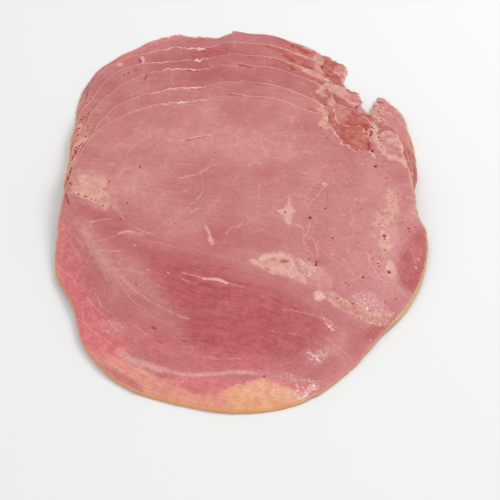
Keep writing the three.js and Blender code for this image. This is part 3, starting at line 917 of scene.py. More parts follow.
SLICE_5_MARKS = LEFT_EDGE + areas(
    Kind.SINEW,
    ((44, 73, 49, 76, 55, 71, 62, 69, 66, 60, 65, 52, 65.5, 46, 62, 41, 55, 43, 49, 50, 45, 58, 42, 68),),
    ((34, 80, 39.5, 77.5, 43, 73, 44, 67, 40.5, 72, 36, 75.5),),
) + areas(
    Kind.VEIN_AND_GLINT,
    ((66, 57, 68, 54, 70, 48, 72.5, 44, 74, 40, 71, 43, 68.5, 48.5), 1.0, 0.7),
) + discs(
    Kind.FAT,
    (-64, 92.5, 1.8),
) + areas(
    Kind.PALE_AND_SHEEN,
    ((68, 60, 78, 63, 88, 50, 86, 36, 74, 38, 68, 50), 3, 0.8),
) + areas(
    Kind.LEAN,
    ((77, 57, 81, 60, 84, 52, 84.5, 46.5, 82, 44.5, 78.5, 48.5, 74, 46.5), 2, 0.4),
) + areas(
    Kind.FAT,
    ((68.5, 60, 71, 58, 71.5, 52, 73, 47, 70.5, 47.5, 68.5, 53), 1, 0.8),
    ((72, 41.5, 76, 43, 79, 40.5, 84, 35, 84, 32, 77.5, 37), 1, 0.8),
) + areas(
    Kind.SLIT_AND_SHADE,
    ((78, 44.5, 81, 43.5, 83, 39.5, 79, 40), 1.5, 0.35),
) + lines(
    Kind.SLIT_AND_SHADE,
    ((-45.5, 94.5, -44, 93, -42.8, 94.6), 1.4, 0.9),
    ((0.5, 103, 3, 101.6, 5, 101.4, 9, 99), 1.8, 0.65),
) + lines(
    Kind.VEIN_AND_GLINT,
    # A painted highlight on the back lip of the dark red split.
    ((1.5, 104, 5.5, 102.6, 10.5, 100.3), 1.3, 0.7),
) + lines(
    Kind.SLIT_AND_SHADE,
    ((34, 94, 37, 91.5, 42, 87), 2.0, 0.6),
    ((64.4, 51, 64.7, 48.5, 64, 46.5), 1.6, 0.9),
    ((63.8, 59.5, 65, 57), 1.6, 0.9),
    ((-84.2, 23.2, -82, 19.6), 1.4, 1.0),
) + lines(
    Kind.VEIN_AND_GLINT,
    ((66.5, 57.5, 69, 54, 69.6, 50, 72, 48.7, 72.5, 43.7), 1.1, 0.8),
) + holes(
    (-62, 92.5, 0.55), (69.5, 58.5, 0.35), (70, 56, 0.45), (70.5, 53, 0.35), (71, 48.5, 0.4),
    (71.8, 53.4, 0.3),
)

SLICE_6_MARKS = lines(
    Kind.SLIT_AND_SHADE,
    ((-7, 102.8, -5, 101.9, -3.5, 102.2, -0.5, 101), 1.7, 0.6),
) + lines(
    Kind.VEIN_AND_GLINT,
    # A painted highlight on the back lip of the dark red split.
    ((-5, 103.2, -1, 102, 2.5, 101.3), 1.2, 0.7),
) + lines(
    Kind.SLIT_AND_SHADE,
    ((-41.5, 95, -39, 95.4), 1.4, 0.9),
    ((43.5, 80.2, 45.5, 76.5), 1.2, 0.9),
)

# From the first slice laid, at the bottom and furthest back, to the one on top.
SLICE_PLANS = (
    SlicePlan(
        "slice_1", (0, 67.7),
        (Dent(150, 24, -2.5), Dent(113, 15, -3.6), Dent(98, 5, 3.5), Dent(44, 7, 12), Dent(28, 19, 23.5)),
        break_at=93.5, marks=SLICE_1_MARKS, warmth_and_shade=0.42, rind_shares=(0.35, 1.0),
    ),
    SlicePlan(
        "slice_2", (0, 56),
        (Dent(180, 20, 1.5), Dent(133, 22, -4.5), Dent(112, 7, -1.5), Dent(48, 8, 6), Dent(20, 12, -2),
         Dent(340, 22, 3)),
        (Tear((66.5, 38.9), 41.5, 4.5),),
        break_at=97, marks=SLICE_2_MARKS, warmth_and_shade=0.58, rind_shares=(0.6, 1.0),
    ),
    SlicePlan(
        "slice_3", (0, 42.6),
        (Dent(178, 24, 1.5), Dent(150, 20, -2.5), Dent(127, 17, -5), Dent(45, 5, -2.5), Dent(40, 3, 5),
         Dent(24, 16, -2.8), Dent(345, 22, 4)),
        (Tear((58.8, 56.3), 41.5, 1.5), Tear((66.0, 49.6), 37.75, 2.25)),
        break_at=94.5, marks=SLICE_3_MARKS, warmth_and_shade=0.55, rind_shares=(1.0, 0.3),
    ),
    SlicePlan(
        "slice_4", (0, 31),
        (Dent(178, 28, 2), Dent(148, 14, 1.5), Dent(116, 20, -2.5), Dent(54, 7, 6), Dent(48, 7, 2.5),
         Dent(42, 4, -3.5), Dent(357, 18, 4.5)),
        (Tear((66.5, 50.5), 38.5, 1.6),),
        break_at=92, marks=SLICE_4_MARKS, warmth_and_shade=0.5, rind_shares=(1.0, 0.3),
    ),
    SlicePlan(
        "slice_5", (-0.5, 13.3),
        (Dent(178, 26, 2.5), Dent(142, 16, 4), Dent(52.5, 7, 6.5), Dent(46.5, 3, -2), Dent(37, 12, -7.5),
         Dent(4, 14, 3)),
        (Tear((64.8, 57.1), 40.5, 2),),
        break_at=90.5, marks=SLICE_5_MARKS, warmth_and_shade=0.24,
    ),
    SlicePlan(
        "slice_6", (0, 0),
        (Dent(178, 18, 0.6), Dent(160, 14, 1.2), Dent(64, 4, -1.5), Dent(58, 5, 3.2), Dent(51.5, 8, 9.5),
         Dent(45.5, 4, 4), Dent(28, 8, -1.5), Dent(9, 7, 2.5)),
        (Tear((67.7, 50.8), 40, 1.5),),
        break_at=94, marks=SLICE_6_MARKS,
    ),
)


@dataclass(frozen=True)
class Joint:
    """The joint of meat that the slices are cut from."""

    # How far the section's edge is from its middle, every 15 degrees from the right by the back.
    radii: tuple[float, ...] = (
        88, 87.5, 92, 90, 93, 98, 101.5, 102, 105, 103.5, 96, 90.5,
        88, 88.5, 87.5, 96, 101, 101, 102, 100, 92.5, 86.5, 87, 87.5,
    )
    dents: tuple[Dent, ...] = (Dent(103, 8, 2), Dent(94, 8, -0.8), Dent(81, 9, -1.4), Dent(43, 8, 4))

    def radius(self, bearings: Array, dents: tuple[Dent, ...] | None = None) -> Array:
        """How far the edge is from the middle.

        Args:
            bearings: in degrees, any shape.
            dents: the dents of one slice beside the section's own, or None for the bare section.

        Returns:
            The radius in mm at each bearing.
        """
        radii = np.array(self.radii, float)
        place = (bearings % 360.0) / (360.0 / len(radii))
        i = np.floor(place).astype(int)
        t = place - i
        a, b, c, d = (radii[(i + k) % len(radii)] for k in (-1, 0, 1, 2))
        cubic = (3 * b - a - 3 * c + d) * t**3
        radius = (2 * b + (c - a) * t + (2 * a - 5 * b + 4 * c - d) * t**2 + cubic) / 2
        for dent in () if dents is None else self.dents + dents:
            radius = radius - dent.depth * ease(1.0 - np.abs(turn(dent.at, bearings)) / dent.half)
        return radius


@dataclass(frozen=True)
class Fan:
    """How the slices lie on each other: each bends down past the edges of those below."""

    joint: Joint = Joint()
    thickness: float = 1.5
    slack: float = 0.3
    edge_reach: float = 3.0
    edge_fall: float = 12.0
    sag: float = 0.5  # how far the whole pile gives way in its soft places

    def cover(self, plan: SlicePlan, x: Array, y: Array) -> Array:
        """1 over a slice and a little past its edge, falling to 0 further out.

        Args:
            plan: the slice.
            x: places in the fan.
            y: places in the fan.

        Returns:
            A number from 0 to 1 for each place.
        """
        dx, dy = x - plan.shift[0], y - plan.shift[1]
        bearings = np.degrees(np.arctan2(dy, dx))
        edge = np.maximum(self.joint.radius(bearings), self.joint.radius(bearings, plan.dents))
        return 1.0 - ease((np.hypot(dx, dy) - edge - self.edge_reach) / self.edge_fall)

    def underside(self, index: int, x: Array, y: Array) -> Array:
        """The height of a slice's lower face.

        Args:
            index: the slice's place in the pile, from 0.
            x: places in the fan.
            y: places in the fan.

        Returns:
            The height in mm at each place.
        """
        layer = self.thickness + self.slack
        flat = sum((layer * self.cover(below, x, y) for below in SLICE_PLANS[:index]), np.zeros(x.shape))
        soft = 0.5 + 0.5 * Ripples(5, 28.0, 80.0).at(x, y)
        return flat * (1.0 - self.sag * np.clip(soft, 0.0, 1.0) / 9.0)


@dataclass(frozen=True)
class RindSpot:
    """The rind at one bearing of the edge."""

    at: float  # degrees
    width: float  # mm
    tone: float  # from salmon 0 by golden and tan to olive 1
    strength: float
    fray_highlight: float = 0.0  # how much the edge is torn to pale fibres, with a painted highlight on them


RIND = (
    RindSpot(0, 0.8, 0.82, 0.85), RindSpot(20, 0.9, 0.86, 0.85), RindSpot(27, 0.7, 0.75, 0.6, 0.2),
    RindSpot(32, 0.6, 0.5, 0.35, 0.4), RindSpot(55, 0.6, 0.45, 0.35, 0.4), RindSpot(64, 0.8, 0.5, 0.7, 0.2),
    RindSpot(70, 0.9, 0.5, 0.85), RindSpot(88, 0.8, 0.45, 0.85), RindSpot(92, 0.5, 0.35, 0.35, 0.2),
    RindSpot(94, 0.4, 0.3, 0.0, 0.2), RindSpot(100, 0.4, 0.3, 0.0, 0.25), RindSpot(102.5, 0.4, 0.3, 0, 1),
    RindSpot(112, 0.5, 0.4, 0.0, 1.0), RindSpot(117, 0.6, 0.6, 0.6, 0.4), RindSpot(128, 0.7, 0.6, 0.8),
    RindSpot(150, 0.7, 0.58, 0.8), RindSpot(175, 0.7, 0.5, 0.85), RindSpot(195, 0.7, 0.3, 0.85),
    RindSpot(215, 0.6, 0.22, 0.85), RindSpot(228, 0.6, 0.28, 0.9), RindSpot(240, 0.9, 0.4, 0.95),
    RindSpot(270, 1.2, 0.38, 0.95), RindSpot(284, 1.1, 0.4, 0.95), RindSpot(288, 0.7, 0.7, 0.8),
    RindSpot(300, 0.5, 0.8, 0.7), RindSpot(318, 0.6, 0.8, 0.7), RindSpot(326, 1.5, 0.8, 0.95),
    RindSpot(340, 1.2, 0.8, 0.95), RindSpot(350, 0.8, 0.82, 0.85),
)


@dataclass
class Slice:
    """One slice of the meat as a closed mesh, fine where it shows and coarse where it is covered."""

    index: int
    fan: Fan
    outline_step: float = 0.6  # between points of the edge
    fine: float = 0.9  # between points of the face where it shows
    coarse: float = 5.0  # between points where other slices cover it, and of the lower face
    torn_ragged: float = 0.4  # how far the torn edge wanders
    back_ragged: float = 0.5  # how far the frayed part of the back edge wanders
    left_ragged: float = 0.35  # how far the left edge bulges in long waves
    cut_ragged: float = 0.1  # how far the rest wanders
    guide_step: float = 0.5  # between points along the lines and round the pits
    split_depth: float = 2.2  # between the two ends of the split back edge
    top_bulge: float = 0.3  # the share of the left edge's waves that the top slice has
    tip_calm: float = 5.0  # the edge doesn't wander this near the tip of a tear
    tear_depth: float = 74.0  # how far out from the middle the torn corner surely covers what is below
    hidden_margin: float = 4.0  # how far inside a later slice's edge nothing shows
    ring_insets: tuple[float, float] = (0.45, 1.0)  # two rows of points inside the edge
    guide_gap: float = 0.36  # between the edge and the points on the marks
    least_gap: float = 0.28  # between two points on the marks
    fill_gap: float = 0.6  # between the points on the marks and the rest
    reach: float = 112.0  # further from the middle than any edge
    jitter: float = 0.14  # how far the rest are off their rows, in shares of their step
    wall_bulge: float = 0.12  # how far the wall's middle stands out
    swell: float = 0.12  # the height of the top slice's soft swells
    top_sink: float = 0.28  # and how much lower it lies for them
    rim_drop: float = 0.4  # how far the face falls at its edge
    torn_drop: float = 0.3  # and how much further at the torn corner
    pebble: float = 0.05  # the height of the fine unevenness
    fold: float = 0.3  # the height of the folds in the torn corner
    roughness: float = 0.07  # how uneven fat and bare skin are
    slit_depth: float = 0.25
    plan: SlicePlan = field(init=False)
    marks: Marks = field(init=False)
    outline: Array = field(init=False)

    def __post_init__(self) -> None:
        """Works out the slice's edge."""
        self.plan = SLICE_PLANS[self.index]
        self.marks = SECTION_MARKS + self.plan.marks
        self.outline = self.edge()

    @property
    def on_top(self) -> bool:
        """Whether it is the last slice laid."""
        return self.index == len(SLICE_PLANS) - 1

    def edge(self) -> Array:
        """The outline from the section's middle: the cut edge with its tears, made a little ragged.

        Returns:
            The points of the outline, one row each.
        """
        bearings = np.arange(0.0, 360.0, 0.4)
        radius = self.fan.joint.radius(bearings, self.plan.dents) + self.split(bearings)
        angles = np.radians(bearings)
        rows = np.column_stack([radius * np.cos(angles), radius * np.sin(angles)])
        for tear in self.plan.tears:
            rows[np.abs(turn(tear.at, bearings)) < tear.half] = tear.tip
        keep = np.any(rows != np.roll(rows, 1, axis=0), axis=1)
        loop = self.resample(rows[keep], self.outline_step)
        return self.resample(loop + self.ragged(loop), self.outline_step)

    def split(self, bearings: Array) -> Array:
        """How far the edge stands out before the break in the back edge, and in behind it.

        Args:
            bearings: in degrees.

        Returns:
            What the break adds to the radius, in mm.
        """
        past = turn(self.plan.break_at, bearings)
        before = ease(1.0 + past / 6.0) * (past < 0)
        behind = ease(1.0 - past / 4.0) * (past >= 0)
        return self.split_depth * (0.6 * before - 0.4 * behind)

    @staticmethod
    def resample(loop: Array, step: float) -> Array:
        """Points at even steps along a closed loop.

        Args:
            loop: the loop's points, one row each.
            step: between the new points, in mm.

        Returns:
            The new points.
        """
        ends = np.vstack([loop, loop[:1]])
        run = np.concatenate([[0.0], np.cumsum(np.hypot(*np.diff(ends, axis=0).T))])
        stops = np.linspace(0.0, run[-1], int(run[-1] / step), endpoint=False)
        return np.column_stack([np.interp(stops, run, ends[:, k]) for k in (0, 1)])

    @staticmethod
    def outward(loop: Array) -> Array:
        """The direction out of a closed loop at each of its points.

        Args:
            loop: the loop's points, one row each.

        Returns:
            One direction for each point, of length 1.
        """
        along = np.roll(loop, -1, axis=0) - np.roll(loop, 1, axis=0)
        along /= np.maximum(np.hypot(*along.T), 1e-6)[:, None]
        return np.column_stack([along[:, 1], -along[:, 0]])

    def ragged(self, loop: Array) -> Array:
        """How each point of the edge is moved to make it uneven, most in the torn corner.

        Args:
            loop: the even edge's points, one row each.

        Returns:
            What is added to each point.
        """
        bearings = np.degrees(np.arctan2(loop[:, 1], loop[:, 0])) % 360.0
        torn, back, left = (window.at(bearings) for window in (TORN_CORNER, FRAYED_BACK, LEFT_SIDE))
        size = self.cut_ragged + (self.torn_ragged - self.cut_ragged) * torn + self.back_ragged * back
        bulge = self.left_ragged * left * Ripples(300 + self.index, 14.0, 40.0).at(loop[:, 0], loop[:, 1])
        if self.on_top:
            bulge = self.top_bulge * bulge
        for tear in self.plan.tears:
            to_tip = np.hypot(loop[:, 0] - tear.tip[0], loop[:, 1] - tear.tip[1])
            size = size * ease(to_tip / self.tip_calm)
        coarse = Ripples(100 + self.index, 6.0, 22.0).at(loop[:, 0], loop[:, 1])
        small = Ripples(200 + self.index, 2.2, 6.0).at(loop[:, 0], loop[:, 1])
        wander = size * (0.6 * coarse + 0.6 * small) + bulge
        return self.outward(loop) * wander[:, None]

    def covered(self, x: Array, y: Array) -> Array:
        """Tells which places of the fan later slices hide well inside their edge.

        Args:
            x: places in the fan.
            y: places in the fan.

        Returns:
            True for each hidden place.
        """
        hidden = np.zeros(x.shape, bool)
        for plan in SLICE_PLANS[self.index + 1 :]:
            dx, dy = x - plan.shift[0], y - plan.shift[1]
            bearings = np.degrees(np.arctan2(dy, dx))
            radius = self.fan.joint.radius(bearings, plan.dents)
            near_tears = (bearings > 20) & (bearings < 66)
            radius = np.where(near_tears, np.minimum(radius, self.tear_depth), radius)
            hidden |= np.hypot(dx, dy) < radius - self.hidden_margin
        return hidden

    def face_points(self) -> Array:
        """The inner points of the upper face: rings inside the edge, points on the marks, and a fill.

        Returns:
            The points, one row each.
        """
        out = self.outward(self.outline)
        rings = np.vstack([self.outline - out * inset for inset in self.ring_insets])
        guides = [rings]
        for streak in self.marks.streaks:
            guides.append(self.along_streak(streak))
        for pit in self.marks.pits:
            guides.append(self.round_pit(pit))
        special = np.vstack(guides)
        special = special[self.clear_of_edge(special, self.guide_gap)]
        hidden = self.covered(special[:, 0] + self.plan.shift[0], special[:, 1] + self.plan.shift[1])
        special = self.thinned(special[~hidden], self.least_gap)
        fill = self.fill(special)
        return np.vstack([special, fill])

    def along_streak(self, streak: Streak) -> Array:
        """Points on a line's middle and beside it.

        Args:
            streak: the line.

        Returns:
            The points, one row each.
        """
        path = streak.path()
        run = np.concatenate([[0.0], np.cumsum(np.hypot(*np.diff(path, axis=0).T))])
        stops = np.linspace(0.0, run[-1], max(2, int(run[-1] / self.guide_step)))
        middle = np.column_stack([np.interp(stops, run, path[:, k]) for k in (0, 1)])
        along = np.gradient(middle, axis=0)
        along /= np.maximum(np.hypot(*along.T), 1e-6)[:, None]
        side = np.column_stack([-along[:, 1], along[:, 0]]) * (0.5 * streak.width)
        return np.vstack([middle, middle + side, middle - side])

    @staticmethod
    def round_pit(pit: Pit) -> Array:
        """A pit's middle and two rings of points round it.

        Args:
            pit: the pit.

        Returns:
            The points, one row each.
        """
        turns = np.radians(np.arange(0, 360, 40))
        ring = np.column_stack([np.cos(turns), np.sin(turns)])
        middle = np.array([pit.at], float)
        return np.vstack([middle, middle + ring * pit.radius * 0.75, middle + ring * pit.radius * 1.5])

    def clear_of_edge(self, points: Array, gap: float) -> Array:
        """Tells which points are inside the outline and a gap away from it."""
        x, y = points.T
        return inside(self.outline, x, y) & (distance_to(self.outline, x, y, closed=True) > gap)

    @staticmethod
    def thinned(points: Array, gap: float) -> Array:
        """Points with at most one left in each square of the gap's size.

        Args:
            points: all of them, one row each.
            gap: the squares' side, in mm.

        Returns:
            The points that are left, in the same order.
        """
        cells = np.floor(points / gap).astype(int)
        _, first = np.unique(cells, axis=0, return_index=True)
        return points[np.sort(first)]

    def fill(self, special: Array) -> Array:
        """Rows of points over the face, fine where it shows, none close to the special ones.

        Args:
            special: the points on the edge and the marks.

        Returns:
            The points, one row each.
        """
        random = np.random.default_rng(40 + self.index)
        near = {tuple(cell) for cell in np.floor(special / self.fill_gap).astype(int)}
        made = []
        for step, wanted in ((self.coarse, True), (self.fine, False)):
            rows = np.arange(-self.reach, self.reach, step * ROW_SPACING)
            columns = np.arange(-self.reach, self.reach, step)
            gx, gy = np.meshgrid(columns, rows)
            gx = gx + (np.arange(len(rows)) % 2)[:, None] * step / 2
            points = np.column_stack([gx.ravel(), gy.ravel()])
            points += random.uniform(-self.jitter, self.jitter, points.shape) * step
            hidden = self.covered(points[:, 0] + self.plan.shift[0], points[:, 1] + self.plan.shift[1])
            points = points[hidden == wanted]
            points = points[np.hypot(*points.T) < self.reach - 4.0]
            points = points[self.clear_of_edge(points, 1.25)]
            cells = np.floor(points / self.fill_gap).astype(int)
            made.append(points[[tuple(cell) not in near for cell in cells]])
        return np.vstack(made)

    def lower_points(self) -> Array:
        """The inner points of the lower face.

        Returns:
            The points, one row each.
        """
        columns = np.arange(-110.0, 110.0, self.coarse)
        gx, gy = np.meshgrid(columns, columns)
        points = np.column_stack([gx.ravel(), gy.ravel()]) + 0.3
        return points[self.clear_of_edge(points, 1.5)]

    def triangles(self, inner: Array) -> tuple[Array, Array]:
        """Joins the edge and inner points to a face.

        Args:
            inner: the inner points, one row each.

        Returns:
            All points, the edge's first, and the triangles over them.
        """
        count = len(self.outline)
        points = np.vstack([self.outline, inner])
        sides = [(i, (i + 1) % count) for i in range(count)]
        made, _, faces, origins, _, _ = delaunay_2d_cdt(
            [Vector(p) for p in points.tolist()], sides, [], 1, 1e-5, True
        )
        if len(made) != len(points):
            raise ValueError(f"{self.plan.node}: {len(points)} points gave {len(made)}")
        given = np.array([origin[0] for origin in origins])
        corners = given[np.array(faces)]
        middles = points[corners].mean(axis=1)
        on_edge = (corners < count).all(axis=1)
        outside = on_edge & ~inside(self.outline, middles[:, 0], middles[:, 1])
        return points, corners[~outside]

    def top_height(self, x: Array, y: Array, rim: Array) -> Array:
        """The height of the upper face: the lower face, the thickness and the marks' relief.

        Args:
            x: places from the section's middle.
            y: places from the section's middle.
            rim: how far the places are from the edge, in mm.

        Returns:
            The height of each place, in mm.
        """
        fx, fy = x + self.plan.shift[0], y + self.plan.shift[1]
        height = self.fan.underside(self.index, fx, fy) + self.fan.thickness
        if self.on_top:
            height = height + self.swell * Ripples(9, 14.0, 40.0).at(fx, fy) - self.top_sink
        bearings = self.bearings(x, y)
        torn = TORN_CORNER.at(bearings)
        # The edge is rounded, more and further in where it is torn.
        drop = (self.rim_drop + self.torn_drop * torn) * (1.0 - ease(rim / 1.1))
        height = height - drop - 0.25 * torn * (1.0 - ease(rim / 5))
        height = height + self.pebble * Ripples(11, 1.8, 4.5).at(x, y) * ease(rim)
        folds = np.clip(Ripples(12, 1.3, 4.5).at(x, y) - 0.4, -1.6, 0.4)
        height = height + self.fold * torn * ease(1.4 - rim / 9.0) * folds
        for patch in self.marks.patches:
            if patch.kind in SUNK:
                rough = self.roughness * Ripples(13, 1.5, 4.0).at(x, y)
                height = height - patch.strength_at(x, y) * (SUNK[patch.kind] + rough)
        for streak in self.marks.streaks:
            if streak.kind is Kind.SLIT_AND_SHADE:
                height = height - self.slit_depth * streak.strength_at(x, y)
        for pit in self.marks.pits:
            away = np.hypot(x - pit.at[0], y - pit.at[1])
            height = height - pit.depth * np.exp(-((away / pit.radius) ** 2))
        return height

    def marks_at(self, x: Array, y: Array) -> dict[str, Array]:
        """The strength of every kind of mark at places.

        Args:
            x: places from the section's middle.
            y: places from the section's middle.

        Returns:
            One array for each attribute that the finish reads. Fat, cap and skin are given as depths
            in mm inside their outline, so that the finish can draw a sharp uneven edge.
        """
        fields = {kind.value: np.zeros(x.shape) for kind in Kind}
        for kind in SHARP_KINDS:
            fields[kind.value] = np.full(x.shape, -DEEPEST)
        for patch in self.marks.patches:
            name = patch.kind.value
            if patch.kind in SHARP_KINDS:
                depth = np.clip(patch.depth_at(x, y) - 1.5 * (1.0 - patch.strength), -DEEPEST, DEEPEST)
                fields[name] = np.maximum(fields[name], depth)
            else:
                fields[name] = np.maximum(fields[name], patch.strength_at(x, y))
        for streak in self.marks.streaks:
            name = streak.kind.value
            fields[name] = np.maximum(fields[name], streak.strength_at(x, y))
        for pit in self.marks.pits:
            away = np.hypot(x - pit.at[0], y - pit.at[1])
            fields["pit"] = np.maximum(fields["pit"], ease(1.5 - away / pit.radius))
        return fields

    def rind_at(self, x: Array, y: Array) -> dict[str, Array]:
        """The rind's width, tone, strength and fraying at the bearing of places.

        Args:
            x: places from the section's middle.
            y: places from the section's middle.

        Returns:
            One array for each of the rind's attributes.
        """
        bearings = self.bearings(x, y)
        first = RIND[0]
        spots = [*RIND, RindSpot(360, first.width, first.tone, first.strength, first.fray_highlight)]
        at = [spot.at for spot in spots]
        shares = (
            (turn(172.0, bearings), 40.0, self.plan.rind_shares[0]),
            (turn(16.0, bearings), 44.0, self.plan.rind_shares[1]),
        )
        share = np.ones(x.shape)
        for away, half, least in shares:
            share -= (1.0 - least) * ease((half - np.abs(away)) / 10.0)
        return {
            "rind_width": np.interp(bearings, at, [spot.width for spot in spots]),
            "rind_tone": np.interp(bearings, at, [spot.tone for spot in spots]),
            "rind_strength": np.interp(bearings, at, [spot.strength for spot in spots]) * share,
            "fray_highlight": np.interp(bearings, at, [spot.fray_highlight for spot in spots]) * share,
        }

    def grain(self, x: Array, y: Array) -> dict[str, Array]:
        """Where places lie along and across the fibres, in mm, for each field of fibres.

        Args:
            x: places from the section's middle.
            y: places from the section's middle.

        Returns:
            One array of rows for each field.
        """
        slope_x = np.array([-100.0, -75, -62, -52, -40, -20, 0, 20, 38, 52, 70, 100])
        steep = np.array([-2.2, -2.2, -1.7, -1.2, -0.7, -0.35, -0.2, -0.4, -0.9, -1.3, -1.5, -1.5])
        gentle = np.array([-0.6, -0.6, -0.5, -0.45, -0.4, -0.35, -0.2, -0.4, -0.9, -1.3, -1.5, -1.5])
        # Right of the pale ridge at the left the fibres fan out and lie flatter.
        ridge_x = [-90.0, -71, -62, -55, -45, -35, -24]
        ridge = np.interp(x, ridge_x, [12.0, -2.5, -22, -31, -40.5, -47.5, -54])
        above = ease((y - ridge + 4.0) / 26.0) * ease((-20.0 - x) / 12.0)
        fine_x = np.linspace(-110.0, 110.0, 221)
        falls = []
        for slope in (steep, gentle):
            fall = np.cumsum(np.interp(fine_x, slope_x, slope))
            falls.append(np.interp(x, fine_x, fall - np.interp(-20.0, fine_x, fall)))
        slope_here = np.interp(x, slope_x, steep) * (1.0 - above)
        squeeze = 1.0 / np.sqrt(1.0 + slope_here**2)
        lower = (y - falls[0] - (falls[1] - falls[0]) * above) * squeeze
        upper = y + 0.1 * x + 1.5 * np.sin(x / 22.0)
        zero = np.zeros(x.shape)
        return {
            "grain_upper": np.column_stack([x, upper, zero]),
            "grain_lower": np.column_stack([x / squeeze, lower, zero]),
            "grain_edge": np.column_stack([np.radians(self.bearings(x, y)) * 90.0, self.inward(x, y), zero]),
        }

    @staticmethod
    def bearings(x: Array, y: Array) -> Array:
        """The bearings of places from the section's middle, in degrees from 0 to 360."""
        return np.degrees(np.arctan2(y, x)) % 360.0

    def inward(self, x: Array, y: Array) -> Array:
        """How far places are from the edge of the bare section, in mm along their bearing."""
        return self.fan.joint.radius(self.bearings(x, y)) - np.hypot(x, y)

    def along_front(self, x: Array, y: Array) -> Array:
        """1 where the fibres turn along the front edge, 0 further in.

        Args:
            x: places from the section's middle.
            y: places from the section's middle.

        Returns:
            A number from 0 to 1 for each place.
        """
        bearings = self.bearings(x, y)
        return FRONT_SIDE.at(bearings) * ease((32.0 - self.inward(x, y)) / 14.0)

    def build(self) -> bpy.types.Object:
        """Makes the slice: its two faces and the wall between them, with the attributes for its finish.

        Returns:
            The slice's object.
        """
        upper, upper_faces = self.triangles(self.face_points())
        lower, lower_faces = self.triangles(self.lower_points())
        count = len(self.outline)
        rim = self.from_edge(upper)
        shift = np.array(self.plan.shift)
        top = self.top_height(upper[:, 0], upper[:, 1], rim)
        floor = self.fan.underside(self.index, *(lower + shift).T)
        wall = self.outline + self.outward(self.outline) * self.wall_bulge
        wall_floor = self.fan.underside(self.index, *(self.outline + shift).T)
        wall_height = wall_floor + 0.5 * (top[:count] - wall_floor)
        floor[:count] += 0.12 * ease(wall_floor / 0.6)
        places = np.vstack([upper, wall, lower])
        heights = np.concatenate([top, wall_height, floor])
        ring = np.arange(count)
        after = (ring + 1) % count
        middle, bottom = len(upper), len(upper) + count
        faces = [upper_faces]
        for high, low in ((0, middle), (middle, bottom)):
            faces.append(np.column_stack([high + ring, low + ring, low + after]))
            faces.append(np.column_stack([high + ring, low + after, high + after]))
        faces.append(lower_faces[:, ::-1] + bottom)
        mesh = self.mesh(places + shift + np.array(STACK_MIDDLE), heights, np.vstack(faces))
        self.dress(mesh, places, np.concatenate([rim, np.zeros(count), self.from_edge(lower)]))
        self.unwrap(mesh, places, len(upper), count)
        piece = bpy.data.objects.new(f"{self.plan.node}_meat", mesh)
        bpy.context.scene.collection.objects.link(piece)
        return piece

    def from_edge(self, points: Array) -> Array:
        """How far a face's points are from the edge, whose own points come first.

        Args:
            points: the points, one row each.

        Returns:
            The distances, in mm.
        """
        rim = distance_to(self.outline, points[:, 0], points[:, 1], closed=True)
        rim[: len(self.outline)] = 0.0
        return rim

    def mesh(self, places: Array, heights: Array, faces: Array) -> bpy.types.Mesh:
        """A smooth mesh in metres from places and heights in mm.

        Args:
            places: the points' x and y, one row each.
            heights: the points' heights.
            faces: the three corners of each triangle.

        Returns:
            The mesh.
        """
        made = bpy.data.meshes.new(f"{self.plan.node}_meat")
        points = np.column_stack([places, np.maximum(heights, 0.0)]) * MM
        made.vertices.add(len(points))
        made.vertices.foreach_set("co", points.ravel())
        made.loops.add(3 * len(faces))
        made.loops.foreach_set("vertex_index", faces.ravel())
        made.polygons.add(len(faces))
        made.polygons.foreach_set("loop_start", np.arange(0, 3 * len(faces), 3))
        made.update(calc_edges=True)
        made.validate()
        made.shade_smooth()
        return made

    def dress(self, mesh: bpy.types.Mesh, places: Array, rim: Array) -> None:
        """Writes the attributes that the finish reads.

        Args:
            mesh: the slice's mesh.
            places: its points from the section's middle.
            rim: how far its points are from the edge.
        """
        x, y = places.T
        values = {**self.marks_at(x, y), **self.rind_at(x, y), "rim": rim}
        # Darker red over the lower slices: partly their own colour, partly painted shade under the slices
        # above.
        values["warmth_and_shade"] = self.plan.warmth_and_shade * (0.65 + 0.4 * ease((x + 70.0) / 60.0))
        values["along_front"] = self.along_front(x, y)
        for name, numbers in values.items():
            mesh.attributes.new(name, "FLOAT", "POINT").data.foreach_set("value", numbers)
        for name, rows in self.grain(x, y).items():
            mesh.attributes.new(name, "FLOAT_VECTOR", "POINT").data.foreach_set("vector", rows.ravel())

    def unwrap(self, mesh: bpy.types.Mesh, places: Array, upper: int, count: int) -> None:
        """Lays the upper face, the lower face and the wall side by side on the texture square.

        Args:
            mesh: the slice's mesh.
            places: its points from the section's middle.
            upper: how many points the upper face has.
            count: how many points the edge has.
        """
        gap, scale = 0.005, 0.8 / 224.0
        corner = places + np.array([96.0, 112.0])
        flat = corner * scale + gap
        flat[upper + count :] = corner[upper + count :] * scale * 0.33
        flat[upper + count :] += np.array([0.735, gap])
        corners = np.empty(len(mesh.loops), int)
        mesh.loops.foreach_get("vertex_index", corners)
        coordinates = flat[corners]
        ring = np.arange(len(places))
        run = np.where(ring < upper + count, ring - upper, ring - upper - count)
        run = np.where(ring < count, ring, run)
        level = np.where(ring < count, 0.98, np.where(ring < upper + count, 0.94, 0.9))
        triangles = corners.reshape(-1, 3)
        in_wall = np.zeros(len(places), bool)
        in_wall[upper : upper + count] = True
        wall = in_wall[triangles].any(axis=1)
        steps = run[triangles[wall]]
        # A triangle across the start of the strip goes past its end instead.
        across = (steps.max(axis=1) - steps.min(axis=1) > count / 2)[:, None] & (steps < count / 2)
        steps = np.where(across, steps + count, steps)
        strip = np.stack([gap + 0.98 * steps / (count + 1), level[triangles[wall]]], axis=2)
        coordinates = coordinates.reshape(-1, 3, 2)
        coordinates[wall] = strip
        layer = mesh.uv_layers.new(name="OFBake")
        layer.data.foreach_set("uv", coordinates.ravel())


